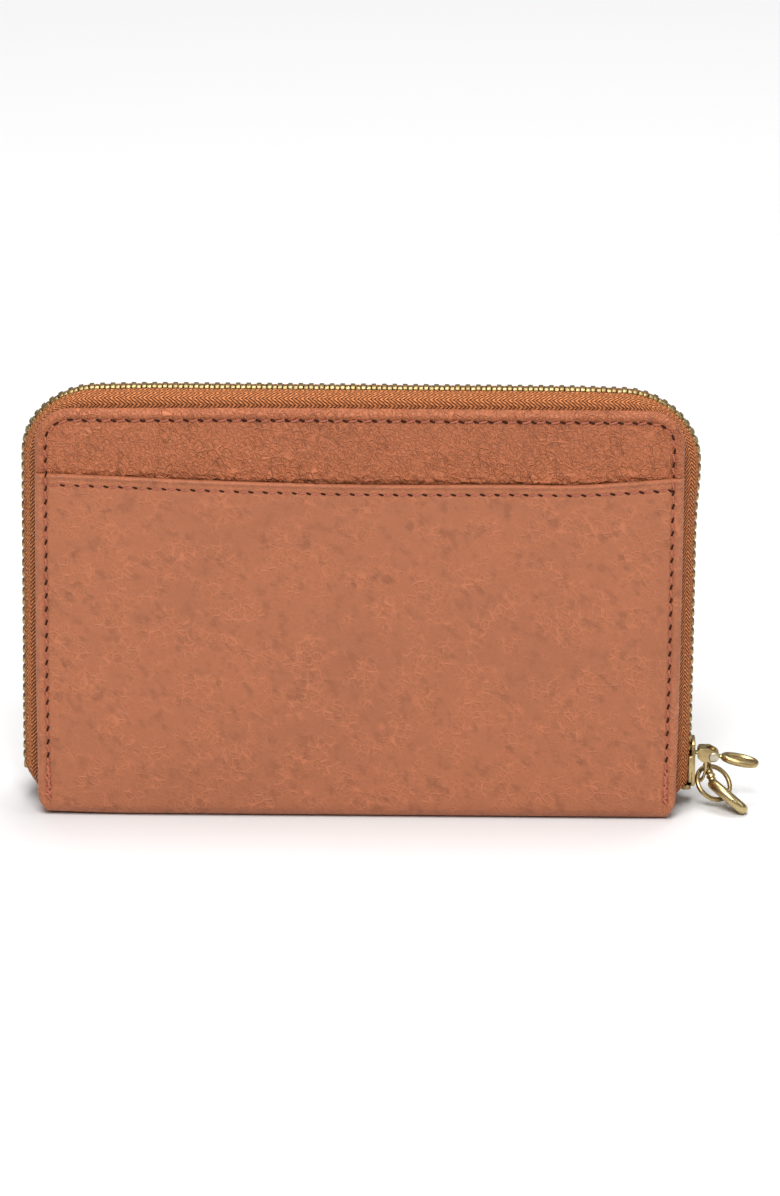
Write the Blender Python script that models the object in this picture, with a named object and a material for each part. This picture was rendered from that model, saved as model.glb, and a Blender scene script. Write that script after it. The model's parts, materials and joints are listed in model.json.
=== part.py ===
"""Zip around wallet standing on its spine, with its pull hanging at the lower right.

Metres, +Z up. +X runs along the wallet's width, the back cover with the slip pocket
faces -Y, and the origin is at the centre of the spine's flat underside.
"""

import math

import bmesh
import bpy
from mathutils import Matrix, Vector

MM = 0.001

# Covers
PANEL_WIDTH = 153.4 * MM
PANEL_HEIGHT = 103.5 * MM
CORNER_RADIUS = 8 * MM
COVER_OUTER_Y = 12.4 * MM      # outer face of each cover, measured from the middle
COVER_INNER_Y = 9.6 * MM
POCKET_THICKNESS = 0.8 * MM
POCKET_TOP_Z = 84.5 * MM
LAYER_GAP = 0.3 * MM           # play between neighbouring leather layers
FOLD_RADIUS = 1.4 * MM         # rounded lower edge of a cover, about its fold line
FOLD_Y = 11 * MM
SPINE_HALF_DEPTH = 9.0 * MM
SPINE_THICKNESS = 1.4 * MM
SPINE_HALF_WIDTH = 76.2 * MM

# Interior
LINING_OUTER_Y = 9.3 * MM
LINING_THICKNESS = 0.5 * MM
LINING_HALF_WIDTH = 73 * MM
LINING_TOP_Z = 99 * MM
CARD_LAYERS = 4
CARD_LAYER_THICKNESS = 0.45 * MM
CARD_LAYER_STEP_Y = 0.72 * MM
CARD_TOP_Z = 82 * MM
CARD_STEP_Z = 11 * MM
CARD_HALF_WIDTH = 70 * MM
INTERIOR_FLOOR_Z = 3.6 * MM
COIN_INNER_Y = 0.8 * MM
COIN_WALL = 0.5 * MM
COIN_HALF_WIDTH = 71 * MM
COIN_TOP_Z = 90 * MM

# Main zip
TOOTH_OUTER = 3.3 * MM         # how far the teeth stand out past the covers' edge
TOOTH_INNER = 1.1 * MM
TOOTH_NEAR_Y = 0.9 * MM
TOOTH_FAR_Y = 3.1 * MM
ZIP_END_Z = 5.8 * MM
LEFT_STOP_TOP_Z = 10.4 * MM
STOP_LENGTH = 1.2 * MM
TAPE_ROOT = -2.1               # in mm, where the tape is sewn in behind the cover's edge

# Slider and what hangs from it
SLIDER_LOW_Z = 5.9 * MM
SLIDER_LENGTH = 10.7 * MM
SLIDER_HALF_DEPTH = 4.5 * MM
PLATE_OUTER_X = 81.1 * MM
PLATE_THICKNESS = 0.8 * MM
PLATE_INNER_X = 75.9 * MM
CROWN_CENTRE_Z = 9.1 * MM
CROWN_HALF_LENGTH = 3.75 * MM
CROWN_REACH = 2.6 * MM
CROWN_HALF_DEPTH = 0.6 * MM
CROWN_THICKNESS = 0.7 * MM
LINK_BAR = Vector((82.5, 0, 11.75)) * MM
LINK_BAR_RADIUS = 0.4 * MM
LINK_PIN = Vector((85.6, 0, 12.2)) * MM
LINK_LEFT_X = 81.75 * MM
LINK_LOW_Z = 10.9 * MM
LINK_TOP_Z = 14.3 * MM
LINK_ROOF = 0.6 * MM
LINK_HALF_DEPTH = 1.7 * MM
LINK_SLOT_HALF = 0.95 * MM
LINK_END_RADIUS = 1.35 * MM
PIN_SHAFT_RADIUS = 0.45 * MM
PIN_HEAD_RADIUS = 1.2 * MM
PIN_HEAD_THICKNESS = 0.35 * MM
PIN_HOLE_RADIUS = 0.75 * MM
KNUCKLE_RADIUS = 1.05 * MM
PULLER_SLOPE = math.radians(-12)
PULLER_START = 2.6 * MM
PULLER_HALF_LENGTH = 3.9 * MM
PULLER_HALF_WIDTH = 2.3 * MM
PULLER_WIRE = 0.75 * MM
NECK_RADIUS = 0.55 * MM
RING_CENTRE = Vector((85.81, -0.18, 4.90)) * MM
RING_NORMAL = Vector((0.4227, -0.5732, 0.7019)).normalized()
RING_RADIUS = 4.41 * MM
RING_WIRE = 0.58 * MM
EYE_POINT = Vector((84.32, 2.55, 8.03)) * MM
EYE_DROP = 0.25 * MM
EYE_RADIUS = 1.3 * MM
EYE_WIRE = 0.38 * MM
LOOP_TOP = Vector((85.77, -3.42, 5.78)) * MM
LOOP_END = Vector((92.4, -7.65, 1.5)) * MM
LOOP_SIDE = Vector((0, -0.9285, 0.3714))
LOOP_HALF_WIDTH = 1.8 * MM
LOOP_WIRE = 1.15 * MM

# Coin pocket zip
COIN_TAPE_LOW_Z = 90.3 * MM
COIN_TAPE_TOP_Z = 95.4 * MM
COIN_TOOTH_LOW_Z = 95.7 * MM
COIN_TOOTH_TOP_Z = 97.3 * MM
COIN_ZIP_HALF_WIDTH = 68 * MM
COIN_SLIDER_X = 60 * MM
COIN_SLIDER_LENGTH = 7 * MM

LEATHER = (0.485, 0.178, 0.093)
LINING = (0.30, 0.12, 0.07)
TAPE = (0.41, 0.13, 0.05)
BRASS = (0.62, 0.46, 0.20)

ARC_STEPS = 8


def clear_scene():
    for old in list(bpy.data.objects):
        bpy.data.objects.remove(old)


def material(name, colour, roughness, metallic=0.0):
    mat = bpy.data.materials.new(name)
    mat.use_nodes = True
    shader = mat.node_tree.nodes["Principled BSDF"]
    shader.inputs["Base Color"].default_value = (*colour, 1)
    shader.inputs["Roughness"].default_value = roughness
    shader.inputs["Metallic"].default_value = metallic
    return mat


def leather(name):
    return material(name, LEATHER, 0.5)


def brass(name):
    return material(name, BRASS, 0.3, 1.0)


def add(name, bm, mat, origin=(0, 0, 0)):
    """Turns a bmesh in world coordinates into a named object whose origin is at origin."""
    bmesh.ops.recalc_face_normals(bm, faces=bm.faces)
    bm.transform(Matrix.Translation(-Vector(origin)))
    mesh = bpy.data.meshes.new(name)
    bm.to_mesh(mesh)
    bm.free()
    mesh.materials.append(mat)
    mesh.shade_smooth()
    mesh.set_sharp_from_angle(angle=math.radians(35))
    obj = bpy.data.objects.new(name, mesh)
    obj.location = origin
    bpy.context.scene.collection.objects.link(obj)
    return obj


def combine(obj, tool, operation):
    """Applies a Boolean of tool to obj and removes the tool."""
    change = obj.modifiers.new("combine", "BOOLEAN")
    change.operation = operation
    change.object = tool
    change.solver = "EXACT"
    bpy.context.view_layer.update()
    graph = bpy.context.evaluated_depsgraph_get()
    mesh = bpy.data.meshes.new_from_object(obj.evaluated_get(graph))
    obj.modifiers.clear()
    obj.data = mesh
    bpy.data.objects.remove(tool)
    return obj


def prism(outline, axis, low, high):
    """A closed prism: outline holds the two coordinates other than axis, in X, Y, Z order."""
    bm = bmesh.new()
    rings = []
    for level in (low, high):
        ring = []
        for a, b in outline:
            point = [a, b]
            point.insert(axis, level)
            ring.append(bm.verts.new(point))
        rings.append(ring)
    count = len(outline)
    for i in range(count):
        j = (i + 1) % count
        bm.faces.new((rings[0][i], rings[0][j], rings[1][j], rings[1][i]))
    bm.faces.new(rings[0])
    bm.faces.new(rings[1])
    return bm


def box(low, high):
    outline = [(low[0], low[1]), (high[0], low[1]), (high[0], high[1]), (low[0], high[1])]
    return prism(outline, 2, low[2], high[2])


def arc(centre, radius, start, stop, steps=ARC_STEPS):
    """Points along an arc, with both ends; the angles are in degrees."""
    points = []
    for i in range(steps + 1):
        angle = math.radians(start + (stop - start) * i / steps)
        points.append((centre[0] + radius * math.cos(angle), centre[1] + radius * math.sin(angle)))
    return points


def cylinder(centre, direction, radius, length, sides=16):
    """A closed cylinder centred on centre, along direction."""
    bm = bmesh.new()
    bmesh.ops.create_cone(
        bm, cap_ends=True, segments=sides, radius1=radius, radius2=radius, depth=length
    )
    turn = Vector((0, 0, 1)).rotation_difference(Vector(direction)).to_matrix().to_4x4()
    bm.transform(Matrix.Translation(centre) @ turn)
    return bm


def wire_ring(centre, along, across, half_length, half_width, wire, thickness=None, steps=32, sides=8):
    """A closed oval of round or flattened wire in the plane of along and across."""
    normal = along.cross(across).normalized()
    thickness = thickness or wire
    bm = bmesh.new()
    rings = []
    for i in range(steps):
        angle = 2 * math.pi * i / steps
        radial = (along * math.cos(angle) * half_width + across * math.sin(angle) * half_length).normalized()
        middle = centre + along * math.cos(angle) * half_length + across * math.sin(angle) * half_width
        ring = []
        for k in range(sides):
            turn = 2 * math.pi * (k + 0.5) / sides
            offset = radial * wire * math.cos(turn) + normal * thickness * math.sin(turn)
            ring.append(bm.verts.new(middle + offset))
        rings.append(ring)
    for i in range(steps):
        here, there = rings[i], rings[(i + 1) % steps]
        for k in range(sides):
            m = (k + 1) % sides
            bm.faces.new((here[k], here[m], there[m], there[k]))
    return bm


def turned(base, direction, profile, sides=12):
    """A solid of revolution: profile holds (distance along direction, radius), ends closed by caps."""
    turn = Vector((0, 0, 1)).rotation_difference(Vector(direction)).to_matrix().to_4x4()
    bm = bmesh.new()
    rings = []
    for along, radius in profile:
        angles = [2 * math.pi * k / sides for k in range(sides)]
        rings.append([bm.verts.new((radius * math.cos(a), radius * math.sin(a), along)) for a in angles])
    for here, there in zip(rings, rings[1:]):
        for k in range(sides):
            m = (k + 1) % sides
            bm.faces.new((here[k], here[m], there[m], there[k]))
    bm.faces.new(rings[0])
    bm.faces.new(rings[-1])
    bm.transform(Matrix.Translation(base) @ turn)
    return bm


def cover_outline():
    """The cover seen from the front: square below, with two rounded corners at the top."""
    half = PANEL_WIDTH / 2
    centre_x = half - CORNER_RADIUS
    centre_z = PANEL_HEIGHT - CORNER_RADIUS
    low = -1 * MM
    points = [(-half, low), (half, low)]
    points += arc((centre_x, centre_z), CORNER_RADIUS, 0, 90)
    points += arc((-centre_x, centre_z), CORNER_RADIUS, 90, 180)
    return points


def cover_panel(side, name, with_pocket):
    """One cover of leather over board; its lower edge is rounded about the fold line."""
    outer = COVER_OUTER_Y - (POCKET_THICKNESS + LAYER_GAP / 2 if with_pocket else 0)
    foot_z = 2 * FOLD_RADIUS
    profile = arc((FOLD_Y, FOLD_RADIUS), FOLD_RADIUS, 180, 360)
    profile += [(COVER_OUTER_Y, foot_z), (outer, foot_z)] if with_pocket else []
    profile += [(outer, PANEL_HEIGHT + MM), (COVER_INNER_Y, PANEL_HEIGHT + MM)]
    profile = [(side * y, z) for y, z in profile]
    half = PANEL_WIDTH / 2 + MM
    panel = add(name, prism(profile, 0, -half, half), leather(name))
    reach = COVER_OUTER_Y + MM
    trim = add("trim", prism(cover_outline(), 1, -reach, reach), panel.data.materials[0])
    return combine(panel, trim, "INTERSECT")


def back_pocket():
    """The slip pocket's leather on the back cover, sewn at its sides and its lower edge."""
    half = PANEL_WIDTH / 2
    low = (-half, -COVER_OUTER_Y, 2 * FOLD_RADIUS + LAYER_GAP)
    high = (half, -COVER_OUTER_Y + POCKET_THICKNESS - LAYER_GAP / 2, POCKET_TOP_Z)
    return add("back_pocket", box(low, high), leather("back_pocket"))


def spine():
    """The strip of leather and board that the wallet stands on."""
    low = (-SPINE_HALF_WIDTH, -SPINE_HALF_DEPTH, 0)
    high = (SPINE_HALF_WIDTH, SPINE_HALF_DEPTH, SPINE_THICKNESS)
    return add("spine", box(low, high), leather("spine"))


def slab(name, side, near_y, far_y, half_width, low_z, top_z, mat):
    """A flat upright layer between two distances from the middle, on one side of the wallet."""
    low = (-half_width, min(side * near_y, side * far_y), low_z)
    high = (half_width, max(side * near_y, side * far_y), top_z)
    return add(name, box(low, high), mat)


def cover_interior(side, prefix):
    """The lining of a cover and its stepped card pockets."""
    slab(
        prefix + "_lining", side, LINING_OUTER_Y - LINING_THICKNESS, LINING_OUTER_Y,
        LINING_HALF_WIDTH, INTERIOR_FLOOR_Z, LINING_TOP_Z, material(prefix + "_lining", LINING, 0.8),
    )
    first_y = LINING_OUTER_Y - LINING_THICKNESS - LAYER_GAP
    for layer in range(CARD_LAYERS):
        name = f"{prefix}_card_pocket_{layer + 1}"
        far_y = first_y - layer * CARD_LAYER_STEP_Y
        slab(
            name, side, far_y - CARD_LAYER_THICKNESS, far_y, CARD_HALF_WIDTH,
            INTERIOR_FLOOR_Z, CARD_TOP_Z - layer * CARD_STEP_Z, leather(name),
        )


def edge_path(left_end, right_end, taper=0.0):
    """Stations (x, z, outward x, outward z, share) up the right edge, over the top and down the left.

    share falls from 1 towards 0.35 over the taper length at each end.
    """
    half = PANEL_WIDTH / 2
    centre_x = half - CORNER_RADIUS
    centre_z = PANEL_HEIGHT - CORNER_RADIUS
    thin = 0.35
    stations = []
    if taper:
        stations.append((half, right_end - taper, 1, 0, thin))
    stations.append((half, right_end, 1, 0, 1))
    for corner, start in ((centre_x, 0), (-centre_x, 90)):
        for i in range(ARC_STEPS + 1):
            angle = math.radians(start + 90 * i / ARC_STEPS)
            out_x, out_z = math.cos(angle), math.sin(angle)
            stations.append(
                (corner + CORNER_RADIUS * out_x, centre_z + CORNER_RADIUS * out_z, out_x, out_z, 1)
            )
    stations.append((-half, left_end, -1, 0, 1))
    if taper:
        stations.append((-half, left_end - 2 * taper, -1, 0, thin))
    return stations


def edge_sweep(stations, section, anchor=0.0):
    """Sweeps a section of (outward distance, y) along the stations; share scales it towards anchor."""
    bm = bmesh.new()
    rings = []
    for x, z, out_x, out_z, share in stations:
        ring = []
        for out, y in section:
            reach = anchor + (out - anchor) * share
            ring.append(bm.verts.new((x + out_x * reach, y, z + out_z * reach)))
        rings.append(ring)
    count = len(section)
    for here, there in zip(rings, rings[1:]):
        for k in range(count):
            m = (k + 1) % count
            bm.faces.new((here[k], here[m], there[m], there[k]))
    bm.faces.new(rings[0])
    bm.faces.new(rings[-1])
    return bm


def zip_tape(side, name):
    """The woven tape between a cover's edge and the teeth; it thins out at both ends."""
    outer = [(2.2, 3.4), (2.2, 5.2), (-1.2, 9.3)]
    inner = [(TAPE_ROOT, 9.3), (1.4, 4.9), (1.4, 3.4)]
    section = [(out * MM, side * y * MM) for out, y in outer + inner]
    stations = edge_path(LEFT_STOP_TOP_Z - STOP_LENGTH, ZIP_END_Z, taper=2.4 * MM)
    return add(name, edge_sweep(stations, section, anchor=TAPE_ROOT * MM), material(name, TAPE, 0.9))


def tooth_row(side, name):
    """One side's teeth as a plain strip from the slider's end round to the bottom stop."""
    section = [
        (TOOTH_INNER, side * TOOTH_NEAR_Y), (TOOTH_OUTER, side * TOOTH_NEAR_Y),
        (TOOTH_OUTER, side * TOOTH_FAR_Y), (TOOTH_INNER, side * TOOTH_FAR_Y),
    ]
    stations = edge_path(LEFT_STOP_TOP_Z + LAYER_GAP, ZIP_END_Z + LAYER_GAP)
    return add(name, edge_sweep(stations, section), brass(name))


def top_stop(side, name):
    """The crimped stop that keeps the slider on one side's tape at the zip's closed end."""
    near, far = sorted((side * TOOTH_NEAR_Y, side * TOOTH_FAR_Y))
    half = PANEL_WIDTH / 2
    high_z = SLIDER_LOW_Z - LAYER_GAP
    low = (half + TOOTH_INNER, near, high_z - STOP_LENGTH)
    high = (half + TOOTH_OUTER - 0.3 * MM, far, high_z)
    return add(name, box(low, high), brass(name))


def bottom_stop():
    """The box that joins both rows of teeth where the zip ends on the left."""
    half = PANEL_WIDTH / 2
    low = (-half - TOOTH_OUTER, -TOOTH_FAR_Y, LEFT_STOP_TOP_Z - 1.5 * STOP_LENGTH)
    high = (-half - TOOTH_INNER, TOOTH_FAR_Y, LEFT_STOP_TOP_Z)
    return add("zip_bottom_stop", box(low, high), brass("zip_bottom_stop"))


def plate_outline(centre_a, centre_b, half_a, half_b, nose):
    """A slider plate seen from above: a rectangle with its corners cut by nose."""
    return [
        (centre_a - half_a + nose, centre_b - half_b), (centre_a + half_a - nose, centre_b - half_b),
        (centre_a + half_a, centre_b - half_b + nose), (centre_a + half_a, centre_b + half_b - nose),
        (centre_a + half_a - nose, centre_b + half_b), (centre_a - half_a + nose, centre_b + half_b),
        (centre_a - half_a, centre_b + half_b - nose), (centre_a - half_a, centre_b - half_b + nose),
    ]


def crown():
    """The flat arch on the slider's outer plate that holds the pull."""
    bm = bmesh.new()
    steps = 14
    rings = []
    for i in range(steps + 1):
        angle = math.pi * i / steps
        reach = CROWN_REACH * math.sin(angle) ** 0.5
        outward = Vector((math.sin(angle), 0, -math.cos(angle)))
        middle = Vector((PLATE_OUTER_X + reach, 0, CROWN_CENTRE_Z - CROWN_HALF_LENGTH * math.cos(angle)))
        if i in (0, steps):
            middle.x -= 0.6 * MM
        half = CROWN_THICKNESS / 2
        corners = [(half, 1), (half, -1), (-half, -1), (-half, 1)]
        rings.append([
            bm.verts.new(middle + outward * a + Vector((0, b * CROWN_HALF_DEPTH, 0))) for a, b in corners
        ])
    for here, there in zip(rings, rings[1:]):
        for k in range(4):
            m = (k + 1) % 4
            bm.faces.new((here[k], here[m], there[m], there[k]))
    bm.faces.new(rings[0])
    bm.faces.new(rings[-1])
    return bm


def slider_body():
    """Two plates joined by a post, with short flanges that hold the teeth, and the crown."""
    mat = brass("slider_body")
    middle_z = SLIDER_LOW_Z + SLIDER_LENGTH / 2
    outline = plate_outline(0, middle_z, SLIDER_HALF_DEPTH, SLIDER_LENGTH / 2, 1.6 * MM)
    outer_inner_x = PLATE_OUTER_X - PLATE_THICKNESS
    body = add("slider_body", prism(outline, 0, outer_inner_x, PLATE_OUTER_X), mat)
    inner = add("inner", prism(outline, 0, PLATE_INNER_X, PLATE_INNER_X + 1.1 * MM), mat)
    combine(body, inner, "UNION")
    top_z = SLIDER_LOW_Z + SLIDER_LENGTH
    post_low = (PLATE_INNER_X + 0.5 * MM, -0.6 * MM, top_z - 3.4 * MM)
    post_high = (outer_inner_x + 0.5 * MM, 0.6 * MM, top_z - 0.6 * MM)
    combine(body, add("post", box(post_low, post_high), mat), "UNION")
    flange_low_z, flange_top_z = SLIDER_LOW_Z + 1.6 * MM, top_z - 3.2 * MM
    for side in (-1, 1):
        near, far = sorted((side * 3.5 * MM, side * 4.45 * MM))
        outer_low = (outer_inner_x - 0.7 * MM, near, flange_low_z)
        outer_high = (outer_inner_x + 0.5 * MM, far, flange_top_z)
        combine(body, add("flange", box(outer_low, outer_high), mat), "UNION")
        inner_low = (PLATE_INNER_X + 0.5 * MM, near, flange_low_z)
        inner_high = (PLATE_INNER_X + 1.5 * MM, far, flange_top_z)
        combine(body, add("flange", box(inner_low, inner_high), mat), "UNION")
    return combine(body, add("crown", crown(), mat), "UNION")


def pull_link():
    """A link of two cheeks joined by a roof, with a bar through the crown and a fork for the puller."""
    mat = brass("pull_link")
    corner = 0.8 * MM
    roof_end_x = LINK_LEFT_X + 2.9 * MM
    outline = [(LINK_LEFT_X, LINK_LOW_Z + 1.1 * MM), (LINK_LEFT_X + 1.1 * MM, LINK_LOW_Z)]
    outline += arc((LINK_PIN.x, LINK_LOW_Z + LINK_END_RADIUS), LINK_END_RADIUS, -90, 60)
    outline += [(roof_end_x, LINK_TOP_Z)]
    outline += arc((LINK_LEFT_X + corner, LINK_TOP_Z - corner), corner, 90, 180, 4)
    link = add("pull_link", prism(outline, 1, -LINK_HALF_DEPTH, LINK_HALF_DEPTH), mat, LINK_BAR)
    slot_low = (LINK_LEFT_X - MM, -LINK_SLOT_HALF, LINK_LOW_Z - MM)
    slot_high = (roof_end_x + MM, LINK_SLOT_HALF, LINK_TOP_Z - LINK_ROOF)
    combine(link, add("slot", box(slot_low, slot_high), mat), "DIFFERENCE")
    fork_low = (LINK_LEFT_X + 2.2 * MM, -LINK_SLOT_HALF, LINK_LOW_Z - MM)
    fork_high = (LINK_PIN.x + 3 * MM, LINK_SLOT_HALF, LINK_TOP_Z + MM)
    combine(link, add("fork", box(fork_low, fork_high), mat), "DIFFERENCE")
    hole = cylinder(LINK_PIN, (0, 1, 0), PIN_HOLE_RADIUS, 8 * MM)
    combine(link, add("hole", hole, mat), "DIFFERENCE")
    bar = cylinder(LINK_BAR, (0, 1, 0), LINK_BAR_RADIUS, 2 * LINK_HALF_DEPTH - 0.6 * MM, 12)
    return combine(link, add("bar", bar, mat), "UNION")


def link_pin():
    """The riveted pin with two flat heads that the oval puller turns on."""
    shaft_end = LINK_HALF_DEPTH + LAYER_GAP
    head_end = shaft_end + PIN_HEAD_THICKNESS
    profile = [
        (-head_end, PIN_HEAD_RADIUS), (-shaft_end, PIN_HEAD_RADIUS), (-shaft_end, PIN_SHAFT_RADIUS),
        (shaft_end, PIN_SHAFT_RADIUS), (shaft_end, PIN_HEAD_RADIUS), (head_end, PIN_HEAD_RADIUS),
    ]
    return add("link_pin", turned(LINK_PIN, (0, 1, 0), profile, 16), brass("link_pin"), LINK_PIN)


def puller_ring():
    """An oval ring on a short neck, with a knuckle round the pin."""
    mat = brass("puller_ring")
    along = Vector((math.cos(PULLER_SLOPE), 0, math.sin(PULLER_SLOPE)))
    across = Vector((0, 1, 0))
    centre = LINK_PIN + along * (PULLER_START + PULLER_HALF_LENGTH)
    oval = wire_ring(centre, along, across, PULLER_HALF_LENGTH, PULLER_HALF_WIDTH, PULLER_WIRE)
    ring = add("puller_ring", oval, mat, LINK_PIN)
    neck_start, neck_stop = 0.95 * MM, PULLER_START + 0.2 * MM
    middle = LINK_PIN + along * (neck_start + neck_stop) / 2
    neck = cylinder(middle, along, NECK_RADIUS, neck_stop - neck_start, 10)
    combine(ring, add("neck", neck, mat), "UNION")
    knuckle = cylinder(LINK_PIN, across, KNUCKLE_RADIUS, 2 * (LINK_SLOT_HALF - LAYER_GAP), 16)
    combine(ring, add("knuckle", knuckle, mat), "UNION")
    hole = cylinder(LINK_PIN, across, PIN_HOLE_RADIUS, 8 * MM)
    return combine(ring, add("hole", hole, mat), "DIFFERENCE")


def jump_ring():
    """The round ring that passes through the crown and carries the swivel."""
    along = RING_NORMAL.cross(Vector((0, 0, 1))).normalized()
    across = RING_NORMAL.cross(along)
    ring = wire_ring(RING_CENTRE, along, across, RING_RADIUS, RING_RADIUS, RING_WIRE, steps=36)
    return add("jump_ring", ring, brass("jump_ring"), RING_CENTRE)


def swivel_eye():
    """A small eye round the jump ring with a beaded post below it."""
    mat = brass("swivel_eye")
    wire_direction = RING_NORMAL.cross(EYE_POINT - RING_CENTRE).normalized()
    post = (LOOP_TOP - EYE_POINT).normalized()
    centre = EYE_POINT + post * EYE_DROP
    across = wire_direction.cross(post).normalized()
    along = across.cross(wire_direction).normalized()
    wire = wire_ring(centre, along, across, EYE_RADIUS, EYE_RADIUS, EYE_WIRE, steps=20)
    eye = add("swivel_eye", wire, mat, EYE_POINT)
    end = (LOOP_TOP - centre).length - LOOP_WIRE - LAYER_GAP
    start = EYE_RADIUS - 0.1 * MM
    step = (end - start) / 4
    profile = [
        (start, 0.45 * MM), (start + step, 0.95 * MM), (start + 2 * step, 0.55 * MM),
        (start + 3 * step, 1.05 * MM), (end, 0.6 * MM),
    ]
    return combine(eye, add("post", turned(centre, post, profile), mat), "UNION")


def swivel_loop():
    """A thick elongated loop of round wire below the swivel's post."""
    along = (LOOP_END - LOOP_TOP).normalized()
    side = (LOOP_SIDE - along * LOOP_SIDE.dot(along)).normalized()
    half_length = (LOOP_END - LOOP_TOP).length / 2
    centre = (LOOP_TOP + LOOP_END) / 2
    loop = wire_ring(centre, along, side, half_length, LOOP_HALF_WIDTH, LOOP_WIRE, steps=28)
    return add("swivel_loop", loop, brass("swivel_loop"), LOOP_TOP)


def coin_pocket():
    """The middle pocket's two walls, its zip, its stops, slider and small puller."""
    wall_far = COIN_INNER_Y + COIN_WALL
    tooth_near, tooth_far = 0.5 * MM, 1.6 * MM
    for side, label in ((-1, "back"), (1, "front")):
        slab(
            f"coin_pocket_{label}_wall", side, COIN_INNER_Y, wall_far, COIN_HALF_WIDTH,
            SPINE_THICKNESS + LAYER_GAP, COIN_TOP_Z, material(f"coin_wall_{label}", LINING, 0.8),
        )
        slab(
            f"coin_zip_{label}_tape", side, COIN_INNER_Y, wall_far, COIN_HALF_WIDTH,
            COIN_TAPE_LOW_Z, COIN_TAPE_TOP_Z, material(f"coin_tape_{label}", TAPE, 0.9),
        )
        slab(
            f"coin_zip_{label}_teeth", side, tooth_near, tooth_far, COIN_ZIP_HALF_WIDTH,
            COIN_TOOTH_LOW_Z, COIN_TOOTH_TOP_Z, brass(f"coin_teeth_{label}"),
        )
    for side, label in ((-1, "left"), (1, "right")):
        near = side * (COIN_ZIP_HALF_WIDTH + LAYER_GAP)
        far = side * (COIN_ZIP_HALF_WIDTH + LAYER_GAP + STOP_LENGTH)
        low = (min(near, far), -tooth_far, COIN_TOOTH_LOW_Z)
        high = (max(near, far), tooth_far, COIN_TOOTH_TOP_Z)
        name = f"coin_zip_{label}_stop"
        add(name, box(low, high), brass(name))


def coin_slider():
    """The coin zip's slider, with a plate above the teeth and a narrow one between the tapes."""
    mat = brass("coin_slider")
    half = COIN_SLIDER_LENGTH / 2
    roof_z = COIN_TOOTH_TOP_Z + LAYER_GAP
    outline = plate_outline(COIN_SLIDER_X, 0, half, 2.6 * MM, 1.0 * MM)
    body = add("coin_slider", prism(outline, 2, roof_z, roof_z + 0.7 * MM), mat)
    keel_low = (COIN_SLIDER_X - half + MM, -0.45 * MM, COIN_TOOTH_LOW_Z - 1.2 * MM)
    keel_high = (COIN_SLIDER_X + half - MM, 0.45 * MM, COIN_TOOTH_LOW_Z - 0.4 * MM)
    combine(body, add("keel", box(keel_low, keel_high), mat), "UNION")
    post_low = (COIN_SLIDER_X - half + 1.2 * MM, -0.2 * MM, COIN_TOOTH_LOW_Z - 0.8 * MM)
    post_high = (COIN_SLIDER_X - half + 3.2 * MM, 0.2 * MM, roof_z + 0.3 * MM)
    combine(body, add("post", box(post_low, post_high), mat), "UNION")
    lug_low = (COIN_SLIDER_X + 1.4 * MM, -0.5 * MM, roof_z + 0.3 * MM)
    lug_high = (COIN_SLIDER_X + 3.0 * MM, 0.5 * MM, roof_z + 2.4 * MM)
    combine(body, add("lug", box(lug_low, lug_high), mat), "UNION")
    pivot = coin_pivot()
    hole = cylinder(pivot, (0, 1, 0), 0.55 * MM, 4 * MM, 12)
    return combine(body, add("hole", hole, mat), "DIFFERENCE")


def coin_pivot():
    """The axis that the coin zip's puller turns on."""
    return Vector((COIN_SLIDER_X + 2.2 * MM, 0, COIN_TOOTH_TOP_Z + LAYER_GAP + 1.6 * MM))


def coin_puller():
    """A flat tab lying over the coin zip's teeth, on a bar through the slider's lug."""
    mat = brass("coin_puller")
    pivot = coin_pivot()
    low_z, top_z = pivot.z - 0.3 * MM, pivot.z + 0.3 * MM
    reach = 15 * MM
    low = (pivot.x - reach, -1.7 * MM, low_z)
    high = (pivot.x + 0.6 * MM, 1.7 * MM, top_z)
    tab = add("coin_puller", box(low, high), mat, pivot)
    window_low = (pivot.x - 2.0 * MM, -0.9 * MM, low_z - MM)
    window_high = (pivot.x + 2.0 * MM, 0.9 * MM, top_z + MM)
    combine(tab, add("window", box(window_low, window_high), mat), "DIFFERENCE")
    bar = cylinder(pivot, (0, 1, 0), 0.28 * MM, 2.8 * MM, 10)
    return combine(tab, add("bar", bar, mat), "UNION")


def main():
    clear_scene()
    spine()
    cover_panel(-1, "back_panel", True)
    back_pocket()
    cover_panel(1, "front_panel", False)
    for side, prefix in ((-1, "back"), (1, "front")):
        cover_interior(side, prefix)
        zip_tape(side, prefix + "_zip_tape")
        tooth_row(side, prefix + "_teeth")
        top_stop(side, prefix + "_top_stop")
    bottom_stop()
    coin_pocket()
    coin_slider()
    coin_puller()
    slider_body()
    pull_link()
    link_pin()
    puller_ring()
    jump_ring()
    swivel_eye()
    swivel_loop()


main()
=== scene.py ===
"""Looks of the zip around wallet: leather, zip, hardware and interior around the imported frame.

Metres, in the row frame: +X to the zip's pull, -Y towards the slip pocket, +Z up from the spine.
"""

import json
import math

import bmesh
import bpy
from mathutils import Matrix, Vector, noise


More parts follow.
